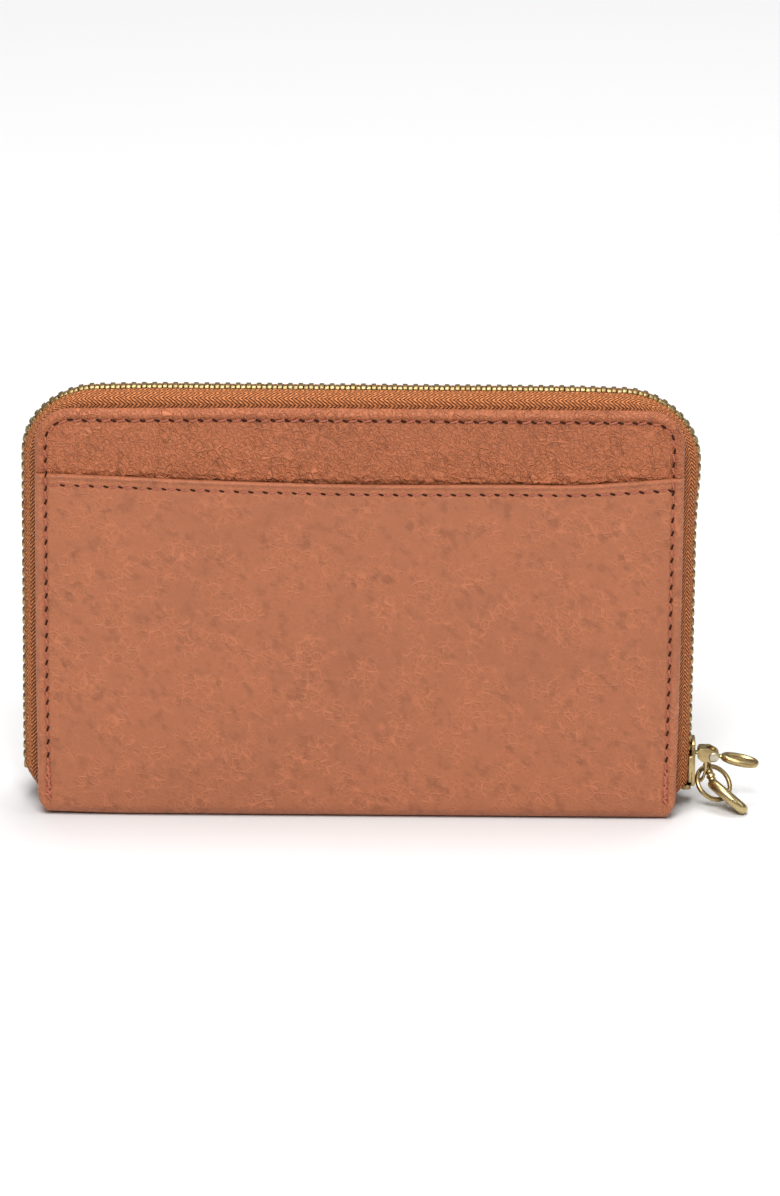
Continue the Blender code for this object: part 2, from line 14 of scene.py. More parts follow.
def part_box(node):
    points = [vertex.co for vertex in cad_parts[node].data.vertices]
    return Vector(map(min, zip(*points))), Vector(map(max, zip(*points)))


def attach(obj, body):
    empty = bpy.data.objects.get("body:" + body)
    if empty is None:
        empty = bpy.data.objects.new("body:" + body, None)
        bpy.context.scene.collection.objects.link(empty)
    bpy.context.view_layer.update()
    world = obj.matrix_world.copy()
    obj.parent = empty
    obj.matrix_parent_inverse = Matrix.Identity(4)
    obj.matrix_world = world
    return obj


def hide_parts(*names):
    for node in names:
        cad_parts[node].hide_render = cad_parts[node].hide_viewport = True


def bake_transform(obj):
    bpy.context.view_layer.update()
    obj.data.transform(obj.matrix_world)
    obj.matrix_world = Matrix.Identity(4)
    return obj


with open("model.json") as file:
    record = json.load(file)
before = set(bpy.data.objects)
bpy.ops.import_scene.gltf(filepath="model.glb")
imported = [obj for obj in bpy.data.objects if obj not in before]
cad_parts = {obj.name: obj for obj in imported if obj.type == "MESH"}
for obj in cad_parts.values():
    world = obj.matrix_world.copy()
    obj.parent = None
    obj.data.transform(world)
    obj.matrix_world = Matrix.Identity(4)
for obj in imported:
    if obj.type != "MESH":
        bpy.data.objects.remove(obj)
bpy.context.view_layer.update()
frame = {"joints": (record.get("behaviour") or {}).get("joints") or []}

MM = 0.001
PANEL_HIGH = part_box("back_panel")[1]
FRONT_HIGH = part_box("front_panel")[1]
POCKET_LOW, POCKET_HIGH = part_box("back_pocket")
TEETH_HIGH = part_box("back_teeth")[1]
SLIDER_LOW, SLIDER_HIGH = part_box("slider_body")
JOINTS = {joint["name"]: joint for joint in frame["joints"]}

# Covers and leather
HALF_WIDTH = PANEL_HIGH.x
COVER_TOP = PANEL_HIGH.z + 0.5 * MM
FACE_Y = FRONT_HIGH.y              # outer face of the front cover and of the slip pocket
POCKET_Y = -POCKET_LOW.y
BAND_Y = POCKET_Y - 0.95 * MM      # outer face of the back cover above the pocket
CORNER_RADIUS = 8.6 * MM
FRONT_CORNER = 13.5 * MM
CORNER_ZONE = 14 * MM
FRONT_ZONE = 17 * MM
EDGE_RADIUS = 1.2 * MM
FOLD_RADIUS = 3.2 * MM
SKIN_THICKNESS = 0.85 * MM
FRONT_THICKNESS = 1.4 * MM
BACK_INNER_Y = 9.65 * MM           # inner face of the back cover's leather
BACK_SEAM_LOW_Z = 12.5 * MM
FRONT_SEAM_LOW_Z = 10.5 * MM
STITCH_INSET = 2.6 * MM
STITCH_PITCH = 3.4 * MM
POCKET_TOP = POCKET_HIGH.z + 3.4 * MM
FRONT_TOP = FRONT_HIGH.z - 2.0 * MM
TOP_SAG = 0.45 * MM            # how much the covers' top edge drops towards the left end
POCKET_DROOP = 1.8 * MM
POCKET_GAPE = 0.75 * MM
POCKET_STITCH_DROP = 2.75 * MM

# Zip
ZIP_HALF_WIDTH = TEETH_HIGH.x + 0.2 * MM
ZIP_TOP = TEETH_HIGH.z
ZIP_RADIUS = 17.8 * MM
ZIP_LEAN = 0.175               # slope of the chain along the top, down towards the front cover
ZIP_DROP = 0.5 * MM
TAPER_DEPTH = 4.6 * MM
TAPE_ROOT_INSET = 1.9 * MM     # the tape's sewn edge, in from the cover's outline
TAPE_ROOT_Y = 9.45 * MM
TAPE_REACH = 6.35 * MM         # from the sewn edge to the beaded edge, across the wallet
TAPE_EDGE_INSET = 0.75 * MM    # the beaded edge, in from the teeth's outline
TAPE_WIDTH = 8.6 * MM          # of the weave, measured along the tape's curve
TOOTH_HEIGHT = 3.3 * MM
TOOTH_PITCH = 2.47 * MM
TOOTH_THICKNESS = 1.12 * MM
TOOTH_START_Z = SLIDER_LOW.z + 0.2 * MM
TOOTH_MESHED_Z = SLIDER_HIGH.z + 0.2 * MM
BOTTOM_STOP_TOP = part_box("zip_bottom_stop")[1].z

# Jump ring and swivel, as they hang from the slider
RING_CENTRE = Vector((85.81, -0.18, 4.90)) * MM
RING_NORMAL = Vector((0.4227, -0.5732, 0.7019)).normalized()
RING_RADIUS = 4.41 * MM
RING_WIRE = 0.58 * MM
LOOP_TOP = Vector((85.77, -3.42, 5.78)) * MM
LOOP_END = Vector((92.4, -7.65, 1.5)) * MM
LOOP_SIDE = Vector((0, -0.9285, 0.3714))
LOOP_HALF_WIDTH = 1.8 * MM
LOOP_WIRE = 1.13 * MM


# ---------------------------------------------------------------- node materials


class Shader:
    """Small wrapper that adds nodes and links to one material."""

    def __init__(self, name):
        self.mat = bpy.data.materials.new(name)
        self.mat.use_nodes = True
        self.tree = self.mat.node_tree
        self.bsdf = self.tree.nodes["Principled BSDF"]

    def set(self, **values):
        for key, value in values.items():
            self.bsdf.inputs[key.replace("_", " ")].default_value = value

    def node(self, kind, inputs=None, **properties):
        made = self.tree.nodes.new(kind)
        for key, value in properties.items():
            setattr(made, key, value)
        for key, value in (inputs or {}).items():
            if isinstance(value, bpy.types.NodeSocket):
                self.tree.links.new(value, made.inputs[key])
            else:
                made.inputs[key].default_value = value
        return made

    def math(self, operation, a, b=None, c=None):
        inputs = {0: a}
        if b is not None:
            inputs[1] = b
        if c is not None:
            inputs[2] = c
        return self.node("ShaderNodeMath", inputs, operation=operation).outputs[0]

    def position(self):
        return self.node("ShaderNodeTexCoord").outputs["Object"]

    def uv(self):
        return self.node("ShaderNodeUVMap").outputs["UV"]

    def stretch(self, vector, scale):
        return self.node("ShaderNodeMapping", {"Vector": vector, "Scale": scale}).outputs[0]

    def turned(self, vector, angle):
        return self.node("ShaderNodeMapping", {"Vector": vector, "Rotation": (0.0, angle, 0.0)}).outputs[0]

    def noise(self, vector, scale, detail=3.0, roughness=0.55):
        inputs = {"Vector": vector, "Scale": scale, "Detail": detail, "Roughness": roughness}
        return self.node("ShaderNodeTexNoise", inputs).outputs["Fac"]

    def warp(self, vector, scale, amount):
        colour = self.node(
            "ShaderNodeTexNoise", {"Vector": vector, "Scale": scale, "Detail": 2.0}
        ).outputs["Color"]
        centred = self.node(
            "ShaderNodeVectorMath", {0: colour, 1: (0.5, 0.5, 0.5)}, operation="SUBTRACT"
        ).outputs[0]
        scaled = self.node(
            "ShaderNodeVectorMath", {0: centred, "Scale": amount}, operation="SCALE"
        ).outputs[0]
        return self.node("ShaderNodeVectorMath", {0: vector, 1: scaled}, operation="ADD").outputs[0]

    def cells(self, vector, scale):
        inputs = {"Vector": vector, "Scale": scale}
        return self.node("ShaderNodeTexVoronoi", inputs, feature="DISTANCE_TO_EDGE").outputs["Distance"]

    def ramp(self, value, low, high, to_low=0.0, to_high=1.0):
        inputs = {"Value": value, "From Min": low, "From Max": high, "To Min": to_low, "To Max": to_high}
        return self.node("ShaderNodeMapRange", inputs, interpolation_type="SMOOTHSTEP").outputs[0]

    def mix(self, share, a, b):
        return self.node("ShaderNodeMix", {0: share, 6: a, 7: b}, data_type="RGBA").outputs[2]

    def link(self, value, socket):
        self.tree.links.new(value, self.bsdf.inputs[socket])

    def bump(self, height, distance):
        inputs = {"Height": height, "Distance": distance, "Strength": 1.0}
        return self.node("ShaderNodeBump", inputs).outputs[0]


def rgba(colour, factor=1.0):
    return tuple(min(1.0, channel * factor) for channel in colour) + (1.0,)


LEATHER = (0.385, 0.128, 0.057)
BAND_LEATHER = (0.425, 0.130, 0.053)
CARD_LEATHER = (0.375, 0.122, 0.055)
TAPE_LIGHT = (0.82, 0.29, 0.108)
# near-black painted shade for the tape's grooves and for its edge by the leather
TAPE_SHADE = (0.085, 0.018, 0.005)
THREAD = (0.40, 0.112, 0.060)
LINING = (0.27, 0.115, 0.070)


def leather_material(name, colour, cell, depth, drift=0.05, roughness=0.5):
    """Milled leather: flat pebbles of about cell metres between fine raised creases, with pores. The creases are
    painted lighter as a highlight and the low swells painted darker as shade.
    """
    s = Shader(name)
    here = s.position()
    slanted = s.stretch(s.turned(here, 0.62), (1.15, 1.0, 0.82))
    pebble = s.cells(s.warp(slanted, 0.35 / cell, 0.35 * cell), 1.0 / cell)
    small = s.cells(s.warp(slanted, 0.8 / cell, 0.15 * cell), 1.9 / cell)
    crease = s.ramp(pebble, 0.0, 0.15, 1.0, 0.0)
    fine = s.ramp(small, 0.0, 0.20, 1.0, 0.0)
    pores = s.noise(here, 6500.0, 2.0)
    patch = s.ramp(s.noise(s.stretch(slanted, (0.7, 1.0, 1.1)), 210.0, 2.0), 0.34, 0.62, 0.25, 1.0)
    ridges = s.math("MAXIMUM", s.math("MULTIPLY", crease, patch), s.math("MULTIPLY", fine, 0.45))
    swell = s.noise(slanted, 0.7 / cell, 2.0)
    height = s.math("MULTIPLY_ADD", swell, 0.25, s.math("MULTIPLY", ridges, 0.65))
    height = s.math("MULTIPLY_ADD", pores, 0.08, height)
    s.link(s.bump(height, depth), "Normal")
    share = s.ramp(s.noise(here, 32.0, 3.0), 0.3, 0.7)
    base = s.mix(share, rgba(colour, 1 - drift), rgba(colour, 1 + drift))
    # painted highlight: the raised creases are coloured up to 1.38 times lighter, where the light would catch
    # them
    light = s.mix(s.math("MULTIPLY", ridges, s.math("MULTIPLY", patch, 0.75)), base, rgba(colour, 1.38))
    # painted shade: where the swell is low the colour goes 0.84 times darker, as shade in the hollows
    painted_hollow_shade = s.mix(s.ramp(swell, 0.25, 0.5, 1.0, 0.0), light, rgba(colour, 0.84))
    s.link(painted_hollow_shade, "Base Color")
    s.link(s.ramp(s.math("ADD", ridges, pores), 0.3, 1.4, roughness + 0.06, roughness - 0.06), "Roughness")
    s.set(Specular_IOR_Level=0.32, Coat_Weight=0.04, Coat_Roughness=0.35)
    return s.mat


def thread_material(name, colour, factor=1.0):
    """Twisted sewing thread."""
    s = Shader(name)
    here = s.position()
    strand = s.noise(here, 4200.0, 1.0)
    s.link(
        s.mix(s.ramp(strand, 0.35, 0.65), rgba(colour, 0.75 * factor), rgba(colour, 1.2 * factor)),
        "Base Color"
    )
    s.link(s.bump(strand, 0.00006), "Normal")
    s.set(Roughness=0.62, Sheen_Weight=0.15, Sheen_Roughness=0.4)
    return s.mat


def hole_material():
    """Painted shadow: a near-black dash that stands for the shade in the mouth of a needle hole."""
    s = Shader("needle_hole")
    fleck = s.noise(s.position(), 3000.0, 1.0)
    s.link(s.mix(fleck, (0.020, 0.006, 0.004, 1), (0.055, 0.016, 0.010, 1)), "Base Color")
    s.set(Roughness=0.9, Specular_IOR_Level=0.1)
    return s.mat


def tape_material(name):
    """Herringbone tape: u runs along the zip and v across it, both in metres. Its grooves and its edge by the
    leather are painted with near-black shade.
    """
    s = Shader(name)
    split = s.node("ShaderNodeSeparateXYZ", {0: s.uv()})
    u, v = split.outputs[0], split.outputs[1]
    zigzag = s.math("PINGPONG", s.math("ADD", v, 1.9 * MM), 1.9 * MM)
    turn = 2 * math.pi / (0.98 * MM)
    rib = s.math("SINE", s.math("MULTIPLY", s.math("SUBTRACT", u, zigzag), turn))
    yarn = s.math(
        "SINE", s.math("MULTIPLY", s.math("SUBTRACT", zigzag, s.math("MULTIPLY", u, 0.6)), turn * 2.1)
    )
    seam = s.math(
        "ABSOLUTE",
        s.math("SUBTRACT", s.math("PINGPONG", s.math("ADD", v, 0.95 * MM), 0.95 * MM), 0.475 * MM)
    )
    groove = s.ramp(seam, 0.30 * MM, 0.475 * MM, 1.0, 0.72)
    fuzz = s.noise(s.position(), 5200.0, 2.0)
    lift = s.math("MULTIPLY_ADD", yarn, 0.16, s.math("MULTIPLY", rib, 0.5))
    height = s.math("MULTIPLY", s.math("ADD", lift, 0.66), groove)
    height = s.math("MULTIPLY_ADD", fuzz, 0.25, height)
    s.link(s.bump(height, 0.00042), "Normal")
    # painted shade: low parts of the weave, and the first 5 mm from the sewn edge by the leather, are mixed
    # towards the near-black shade colour
    share = s.math("MULTIPLY", s.ramp(height, 0.24, 0.98), s.ramp(v, 0.0, 5.0 * MM, 0.35, 1.0))
    s.link(s.mix(share, rgba(TAPE_SHADE), rgba(TAPE_LIGHT)), "Base Color")
    s.set(Roughness=0.8, Specular_IOR_Level=0.12)
    return s.mat


def metal_material(name, colour, roughness, tarnish, wear_scale=900.0):
    """Antique brass: a polished base with brown tarnish and fine scuffs."""
    s = Shader(name)
    here = s.position()
    cloud = s.noise(here, wear_scale * 0.45, 4.0, 0.6)
    scuff = s.noise(s.stretch(here, (1.0, 1.0, 6.0)), wear_scale * 3.0, 2.0)
    share = s.ramp(cloud, 0.42, 0.70, 0.0, tarnish)
    s.link(s.mix(share, rgba(colour), rgba((0.22, 0.125, 0.045))), "Base Color")
    s.link(
        s.ramp(s.math("ADD", cloud, s.math("MULTIPLY", scuff, 0.5)), 0.45, 1.05, roughness, roughness + 0.2),
        "Roughness"
    )
    s.link(s.bump(scuff, 0.00003), "Normal")
    s.set(Metallic=1.0)
    return s.mat


def lining_material(name, colour):
    """Fine plain weave cloth for the linings and the coin pocket."""
    s = Shader(name)
    split = s.node("ShaderNodeSeparateXYZ", {0: s.position()})
    turn = 2 * math.pi / (0.42 * MM)
    warp = s.math("SINE", s.math("MULTIPLY", split.outputs[0], turn))
    weft = s.math("SINE", s.math("MULTIPLY", split.outputs[2], turn))
    cloth = s.math("MULTIPLY", warp, weft)
    fuzz = s.noise(s.position(), 2500.0, 2.0)
    height = s.math("MULTIPLY_ADD", cloth, 0.5, fuzz)
    s.link(s.bump(height, 0.00008), "Normal")
    s.link(s.mix(s.ramp(height, 0.1, 0.9), rgba(colour, 0.7), rgba(colour, 1.15)), "Base Color")
    s.set(Roughness=0.85, Specular_IOR_Level=0.2, Sheen_Weight=0.2, Sheen_Roughness=0.5)
    return s.mat


MATERIALS = {
    "pocket": leather_material("pocket_leather", LEATHER, 1.9 * MM, 0.00026),
    "band": leather_material("band_leather", BAND_LEATHER, 2.1 * MM, 0.00085),
    "front": leather_material("front_leather", LEATHER, 2.0 * MM, 0.00040),
    "card": leather_material("card_leather", CARD_LEATHER, 0.9 * MM, 0.00008),
    "thread": thread_material("seam_thread", THREAD),
    # painted light: the tacks use the seam's own thread coloured 15% brighter, as a lit copy
    "tack": thread_material("tack_thread", THREAD, 1.15),
    "hole": hole_material(),
    "tape": tape_material("zip_tape"),
    "teeth": metal_material("zip_teeth_metal", (0.43, 0.32, 0.145), 0.32, 0.65),
    "brass": metal_material("pull_brass_metal", (0.53, 0.41, 0.20), 0.20, 0.55, 500.0),
    "steel": metal_material("pin_metal", (0.62, 0.58, 0.46), 0.30, 0.25, 500.0),
    "lining": lining_material("lining_cloth", LINING),
}


# ---------------------------------------------------------------- mesh helpers


def finished(name, mesh, mat, sharp):
    """Gives a mesh its material and shading, and links it in as an object."""
    mesh.materials.append(MATERIALS[mat])
    mesh.shade_smooth()
    mesh.set_sharp_from_angle(angle=math.radians(sharp))
    obj = bpy.data.objects.new(name, mesh)
    bpy.context.scene.collection.objects.link(obj)
    return obj


def mesh_object(name, points, faces, mat, uvs=None, sharp=40.0):
    """A named object from points and faces in the row frame; uvs are per point."""
    mesh = bpy.data.meshes.new(name)
    mesh.from_pydata([tuple(p) for p in points], [], faces)
    if uvs is not None:
        layer = mesh.uv_layers.new(name="UVMap")
        corners = [0] * len(mesh.loops)
        mesh.loops.foreach_get("vertex_index", corners)
        flat = [value for index in corners for value in uvs[index]]
        layer.data.foreach_set("uv", flat)
    return finished(name, mesh, mat, sharp)


def bmesh_object(name, bm, mat, sharp=40.0):
    bmesh.ops.recalc_face_normals(bm, faces=bm.faces)
    mesh = bpy.data.meshes.new(name)
    bm.to_mesh(mesh)
    bm.free()
    return finished(name, mesh, mat, sharp)


def faces_object(name, points, faces, mat, sharp=40.0):
    """An object from points and faces, with its faces turned outwards."""
    bm = bmesh.new()
    verts = [bm.verts.new(point) for point in points]
    for face in faces:
        bm.faces.new([verts[i] for i in face])
    return bmesh_object(name, bm, mat, sharp)


def slab_faces(width, height):
    """Faces of a closed slab of two grids of points, outer then inner, joined round the rim."""
    offset = width * height
    faces = []
    for j in range(height - 1):
        for i in range(width - 1):
            a, b = j * width + i, j * width + i + 1
            d, c = a + width, b + width
            faces += [(a, b, c, d), (offset + d, offset + c, offset + b, offset + a)]
    rim = list(range(width))
    rim += [j * width + width - 1 for j in range(1, height)]
    rim += [(height - 1) * width + i for i in range(width - 2, -1, -1)]
    rim += [j * width for j in range(height - 2, 0, -1)]
    for k, a in enumerate(rim):
        b = rim[(k + 1) % len(rim)]
        faces.append((b, a, offset + a, offset + b))
    return faces


def join(name, pieces):
    """Joins objects that ride together into one."""
    with bpy.context.temp_override(active_object=pieces[0], selected_editable_objects=pieces):
        bpy.ops.object.join()
    pieces[0].name = name
    return pieces[0]


def combine(obj, tool, operation):
    """Applies a Boolean and removes the tool."""
    change = obj.modifiers.new("combine", "BOOLEAN")
    change.operation = operation
    change.object = tool
    change.solver = "EXACT"
    return apply_modifiers(obj, tool)


def apply_modifiers(obj, *leftovers):
    bpy.context.view_layer.update()
    graph = bpy.context.evaluated_depsgraph_get()
    mesh = bpy.data.meshes.new_from_object(obj.evaluated_get(graph))
    obj.modifiers.clear()
    obj.data = mesh
    for tool in leftovers:
        bpy.data.objects.remove(tool)
    return obj


def soften(obj, width, segments=3, angle=28.0):
    """Rounds the sharp edges of a piece."""
    bevel = obj.modifiers.new("soften", "BEVEL")
    bevel.width = width
    bevel.segments = segments
    bevel.limit_method = "ANGLE"
    bevel.angle_limit = math.radians(angle)
    bevel.harden_normals = False
    apply_modifiers(obj)
    obj.data.shade_smooth()
    obj.data.set_sharp_from_angle(angle=math.radians(60))
    return obj


def place(piece, body, slot, *nodes):
    """Rides a finished piece on its body and hides the CAD nodes it stands for; slot is not used."""
    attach(piece, body)
    if nodes:
        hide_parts(*nodes)
    return piece


def spread(*stretches):
    """Rising numbers through (start, stop, step) stretches, in metres, with the last stop."""
    values = []
    for start, stop, step in stretches:
        count = max(1, round((stop - start) / step))
        values += [start + (stop - start) * i / count for i in range(count)]
    return values + [stretches[-1][1]]


def smooth(value, low, high):
    share = min(1.0, max(0.0, (value - low) / (high - low)))
    return share * share * (3 - 2 * share)


def bell(value, centre, width):
    return math.exp(-((value - centre) / width) ** 2)


def ripple(x, y, z, size, seed=0.0):
    """Smooth noise of about one unit with waves of the given size."""
    return noise.noise(Vector((x / size + seed, y / size, z / size)))


def prism(outline, axis, low, high):
    """A closed prism: outline holds the two coordinates other than axis, in X, Y, Z order."""
    bm = bmesh.new()
    rings = []
    for level in (low, high):
        ring = []
        for a, b in outline:
            point = [a, b]
            point.insert(axis, level)
            ring.append(bm.verts.new(point))
        rings.append(ring)
    for i in range(len(outline)):
        j = (i + 1) % len(outline)
        bm.faces.new((rings[0][i], rings[0][j], rings[1][j], rings[1][i]))
    bm.faces.new(rings[0])
    bm.faces.new(rings[1])
    return bm


def block(low, high):
    outline = [(low[0], low[1]), (high[0], low[1]), (high[0], high[1]), (low[0], high[1])]
    return prism(outline, 2, low[2], high[2])


def arc(centre, radius, start, stop, steps=12):
    """Points along an arc, with both ends; the angles are in degrees."""
    points = []
    for i in range(steps + 1):
        angle = math.radians(start + (stop - start) * i / steps)
        points.append((centre[0] + radius * math.cos(angle), centre[1] + radius * math.sin(angle)))
    return points


def loft(rings, closed=False):
    """Quads between equal rings of points; open lofts get flat ends."""
    points = [point for ring in rings for point in ring]
    count = len(rings[0])
    faces = []
    for i in range(len(rings) if closed else len(rings) - 1):
        a, b = i * count, ((i + 1) % len(rings)) * count
        for k in range(count):
            m = (k + 1) % count
            faces.append((a + k, a + m, b + m, b + k))
    if not closed:
        faces.append(tuple(range(count)))
        faces.append(tuple((len(rings) - 1) * count + k for k in reversed(range(count))))
    return points, faces


def solid(name, rings, mat, closed=False, sharp=40.0):
    """A closed solid through rings, with its faces turned outwards."""
    return faces_object(name, *loft(rings, closed), mat, sharp)


def boxy_circle(sides, power):
    """Points round a unit circle; a power below 1 squares it off."""
    points = []
    for k in range(sides):
        turn = 2 * math.pi * (k + 0.5) / sides
        a, b = math.cos(turn), math.sin(turn)
        points.append((math.copysign(abs(a) ** power, a), math.copysign(abs(b) ** power, b)))
    return points


def wire_oval(
    name, centre, along, across, half_length, half_width, wire, thickness, mat, steps=72, sides=16,
    square=2.0
):
    """A closed oval of wire; square above 2 makes its section boxier."""
    normal = along.cross(across).normalized()
    rings = []
    for i in range(steps):
        angle = 2 * math.pi * i / steps
        cos, sin = math.cos(angle), math.sin(angle)
        radial = (along * cos * half_width + across * sin * half_length).normalized()
        middle = centre + along * cos * half_length + across * sin * half_width
        ring = []
        for a, b in boxy_circle(sides, 2 / square):
            ring.append(middle + radial * wire * a + normal * thickness * b)
        rings.append(ring)
    return solid(name, rings, mat, closed=True, sharp=180)


def turned(name, base, direction, profile, mat, sides=28):
    """A solid of revolution from (distance, radius) pairs, with closed ends."""
    turn = Vector((0, 0, 1)).rotation_difference(Vector(direction))
    rings = []
    for along, radius in profile:
        ring = []
        for k in range(sides):
            angle = 2 * math.pi * k / sides
            ring.append(
                Vector(base) + turn @ Vector((radius * math.cos(angle), radius * math.sin(angle), along))
            )
        rings.append(ring)
    return solid(name, rings, mat, sharp=50)


def rod(name, start, stop, radius, mat, sides=20):
    direction = (Vector(stop) - Vector(start))
    return turned(
        name, start, direction.normalized(), [(0, radius), (direction.length, radius)], mat, sides
    )


# ---------------------------------------------------------------- covers


def corner_bend(side_gap, top_gap, radius=CORNER_RADIUS, zone=CORNER_ZONE):
    """Maps distances from the side and the top so that grid lines follow the rounded corner.

    Returns the new distances and the distance to the rounded outline.
    """
    inset = min(side_gap, top_gap)
    if side_gap >= zone or top_gap >= zone:
        return side_gap, top_gap, inset
    bend = max(radius - inset, 0.0)
    swap = side_gap < top_gap
    far = top_gap if swap else side_gap
    share = (zone - far) / (zone - inset) if zone > inset else 0.0
    straight = zone - inset - bend
    length = share * (straight + math.pi * bend / 4)
    if length <= straight or bend == 0.0:
        a, b = zone - length, inset
    else:
        angle = (length - straight) / bend
        a = inset + bend - bend * math.sin(angle)
        b = inset + bend - bend * math.cos(angle)
    return (b, a, inset) if swap else (a, b, inset)


def edge_drop(distance, radius):
    """How far a turned edge has rolled back at a distance from the outline."""
    if distance >= radius:
        return 0.0
    return radius - math.sqrt(max(radius * radius - (radius - distance) ** 2, 0.0))


def border_relief(distance):
    """Padded border, stitch channel and the slightly crowned field inside it."""
    crest = 0.20 * bell(distance, 1.25 * MM, 0.6 * MM)
    channel = -0.30 * bell(distance, STITCH_INSET, 0.55 * MM)
    field = 0.30 * (1 - math.exp(-max(distance - 3 * MM, 0) / (8 * MM)))
    return (crest + channel + field) * MM


def column_gaps(step):
    """Distances from the side edge to the middle, close together near the turned edge."""
    return spread(
        (0, 1.2 * MM, 0.15 * MM), (1.2 * MM, 4.2 * MM, 0.3 * MM), (4.2 * MM, CORNER_ZONE, 0.7 * MM),
        (CORNER_ZONE, FRONT_ZONE, 0.7 * MM), (FRONT_ZONE, HALF_WIDTH, step),
    )


def sheet_piece(name, mat, rows, step, surface, thickness):
    """A closed sheet: surface(side_gap, s, x_sign) gives a point, its outward normal and the distance in.

    rows are distances down the sheet from its top edge; the inner face lies thickness further in.
    """
    gaps = column_gaps(step)
    columns = [(gap, -1) for gap in gaps] + [(gap, 1) for gap in reversed(gaps[:-1])]
    outer, inner = [], []
    for s in rows:
        for gap, sign in columns:
            point, normal, drop = surface(gap, s, sign)
            outer.append(point)
            depth = max(thickness - drop, 0.05 * MM)
            inner.append(point - normal * depth)
    return faces_object(name, outer + inner, slab_faces(len(columns), len(rows)), mat, sharp=180)


def fold_path(s, top, face_y, side):
    """Centreline of a leather skin down a cover, round its lower edge and under the spine."""
    run = top - FOLD_RADIUS
    if s <= run:
        return side * face_y, top - s, Vector((0, side, 0))
    angle = (s - run) / FOLD_RADIUS
    if angle < math.pi / 2:
        y = face_y - FOLD_RADIUS + FOLD_RADIUS * math.cos(angle)
        z = FOLD_RADIUS - FOLD_RADIUS * math.sin(angle)
        return side * y, z, Vector((0, side * math.cos(angle), -math.sin(angle)))
    y = face_y - FOLD_RADIUS - (s - run - FOLD_RADIUS * math.pi / 2)
    return side * y, 0.0, Vector((0, 0, -1))


def skin_length(top, face_y):
    """Length of a skin from its top edge to the middle of the spine's underside."""
    return top - FOLD_RADIUS + FOLD_RADIUS * math.pi / 2 + face_y - FOLD_RADIUS - 0.05 * MM


def narrowing(z):
    """The skins draw in slightly at the ends of the spine."""
    return 1.3 * MM * (1 - smooth(z, 0, 5 * MM)) + 0.35 * MM * (1 - smooth(z, 0, 45 * MM))


def pocket_sag(x):
    """Share of droop and gape along the pocket's top edge, none at its sewn ends."""
    left = smooth(HALF_WIDTH + x, -6 * MM, 70 * MM)
    right = smooth(HALF_WIDTH - x, -4 * MM, 32 * MM)
    return left * right * (1 + 0.04 * math.sin(x / (9 * MM) + 1))


def pocket_wave(x, z):
    """Soft waves of the pocket's leather, in millimetres."""
    return 0.20 * ripple(x, 0, z, 34 * MM, 3.1) + 0.09 * ripple(x * 1.6, 0, z, 13 * MM, 7.7)


def corner_lift(point):
    """The lower edge rises a little at the left end of the spine."""
    reach = smooth(-point.x, HALF_WIDTH - 22 * MM, HALF_WIDTH)
    return 0.45 * MM * reach * (1 - smooth(point.z, 0, 16 * MM))


def pocket_skin():
    """Slip pocket leather, which goes on round the lower edge and under the back half of the spine."""
    top = POCKET_TOP
    total = skin_length(top, POCKET_Y)

    def surface(gap, s, sign):
        y, z, normal = fold_path(s, top, POCKET_Y, -1)
        x = sign * (HALF_WIDTH - gap)
        side_drop = edge_drop(gap, EDGE_RADIUS)
        top_drop = edge_drop(s, 0.4 * MM)
        drop = max(side_drop, top_drop)
        sag = pocket_sag(x)
        lift = border_relief(gap) - 0.17 * MM * bell(s, POCKET_STITCH_DROP, 0.45 * MM)
        lift += 0.30 * MM * bell(s, 0.55 * MM, 0.42 * MM) - 0.10 * MM * bell(s, 1.6 * MM, 0.5 * MM)
        face = smooth(z, 1 * MM, 9 * MM)
        inside = smooth(gap, 2 * MM, 9 * MM)
        lift = lift * smooth(z, 0.2 * MM, 4 * MM)
        lift += pocket_wave(x, z) * MM * face * inside
        lift += 0.9 * POCKET_GAPE * sag * bell(s, 0, 9 * MM)
        point = Vector((x, y, z)) + normal * (lift - drop)
        point.z -= POCKET_DROOP * sag * math.exp(-s / (14 * MM))
        point.x -= sign * narrowing(z) * (1 - gap / HALF_WIDTH)
        point.z = max(point.z, 0.03 * MM)
        point.z += corner_lift(point)
        return point, normal, drop

    rows = spread(
        (0, 0.45 * MM, 0.07 * MM), (0.45 * MM, 4.5 * MM, 0.25 * MM), (4.5 * MM, 14 * MM, 0.8 * MM),
        (14 * MM, top - 10 * MM, 1.4 * MM), (
            top - 10 * MM, total - 6 * MM, 0.45 * MM
        ), (total - 6 * MM, total, 1.5 * MM),
    )
    piece = sheet_piece("back_pocket_leather", "pocket", rows, 1.2 * MM, surface, SKIN_THICKNESS)
    blend_to_cover(piece)
    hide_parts("back_pocket", "spine")


def blend_to_cover(piece):
    """Bakes the skin's transform into its mesh."""
    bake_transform(piece)


def front_lean(z):
    """The front cover draws in a little under the zip."""
    return 0.8 * MM * smooth(z, FRONT_TOP - 18 * MM, FRONT_TOP)


def top_sag(x, z):
    """The covers' top edge is a little lower towards the left end."""
    left = smooth(-x, 15 * MM, HALF_WIDTH)
    return TOP_SAG * left * smooth(z, COVER_TOP - 20 * MM, COVER_TOP)


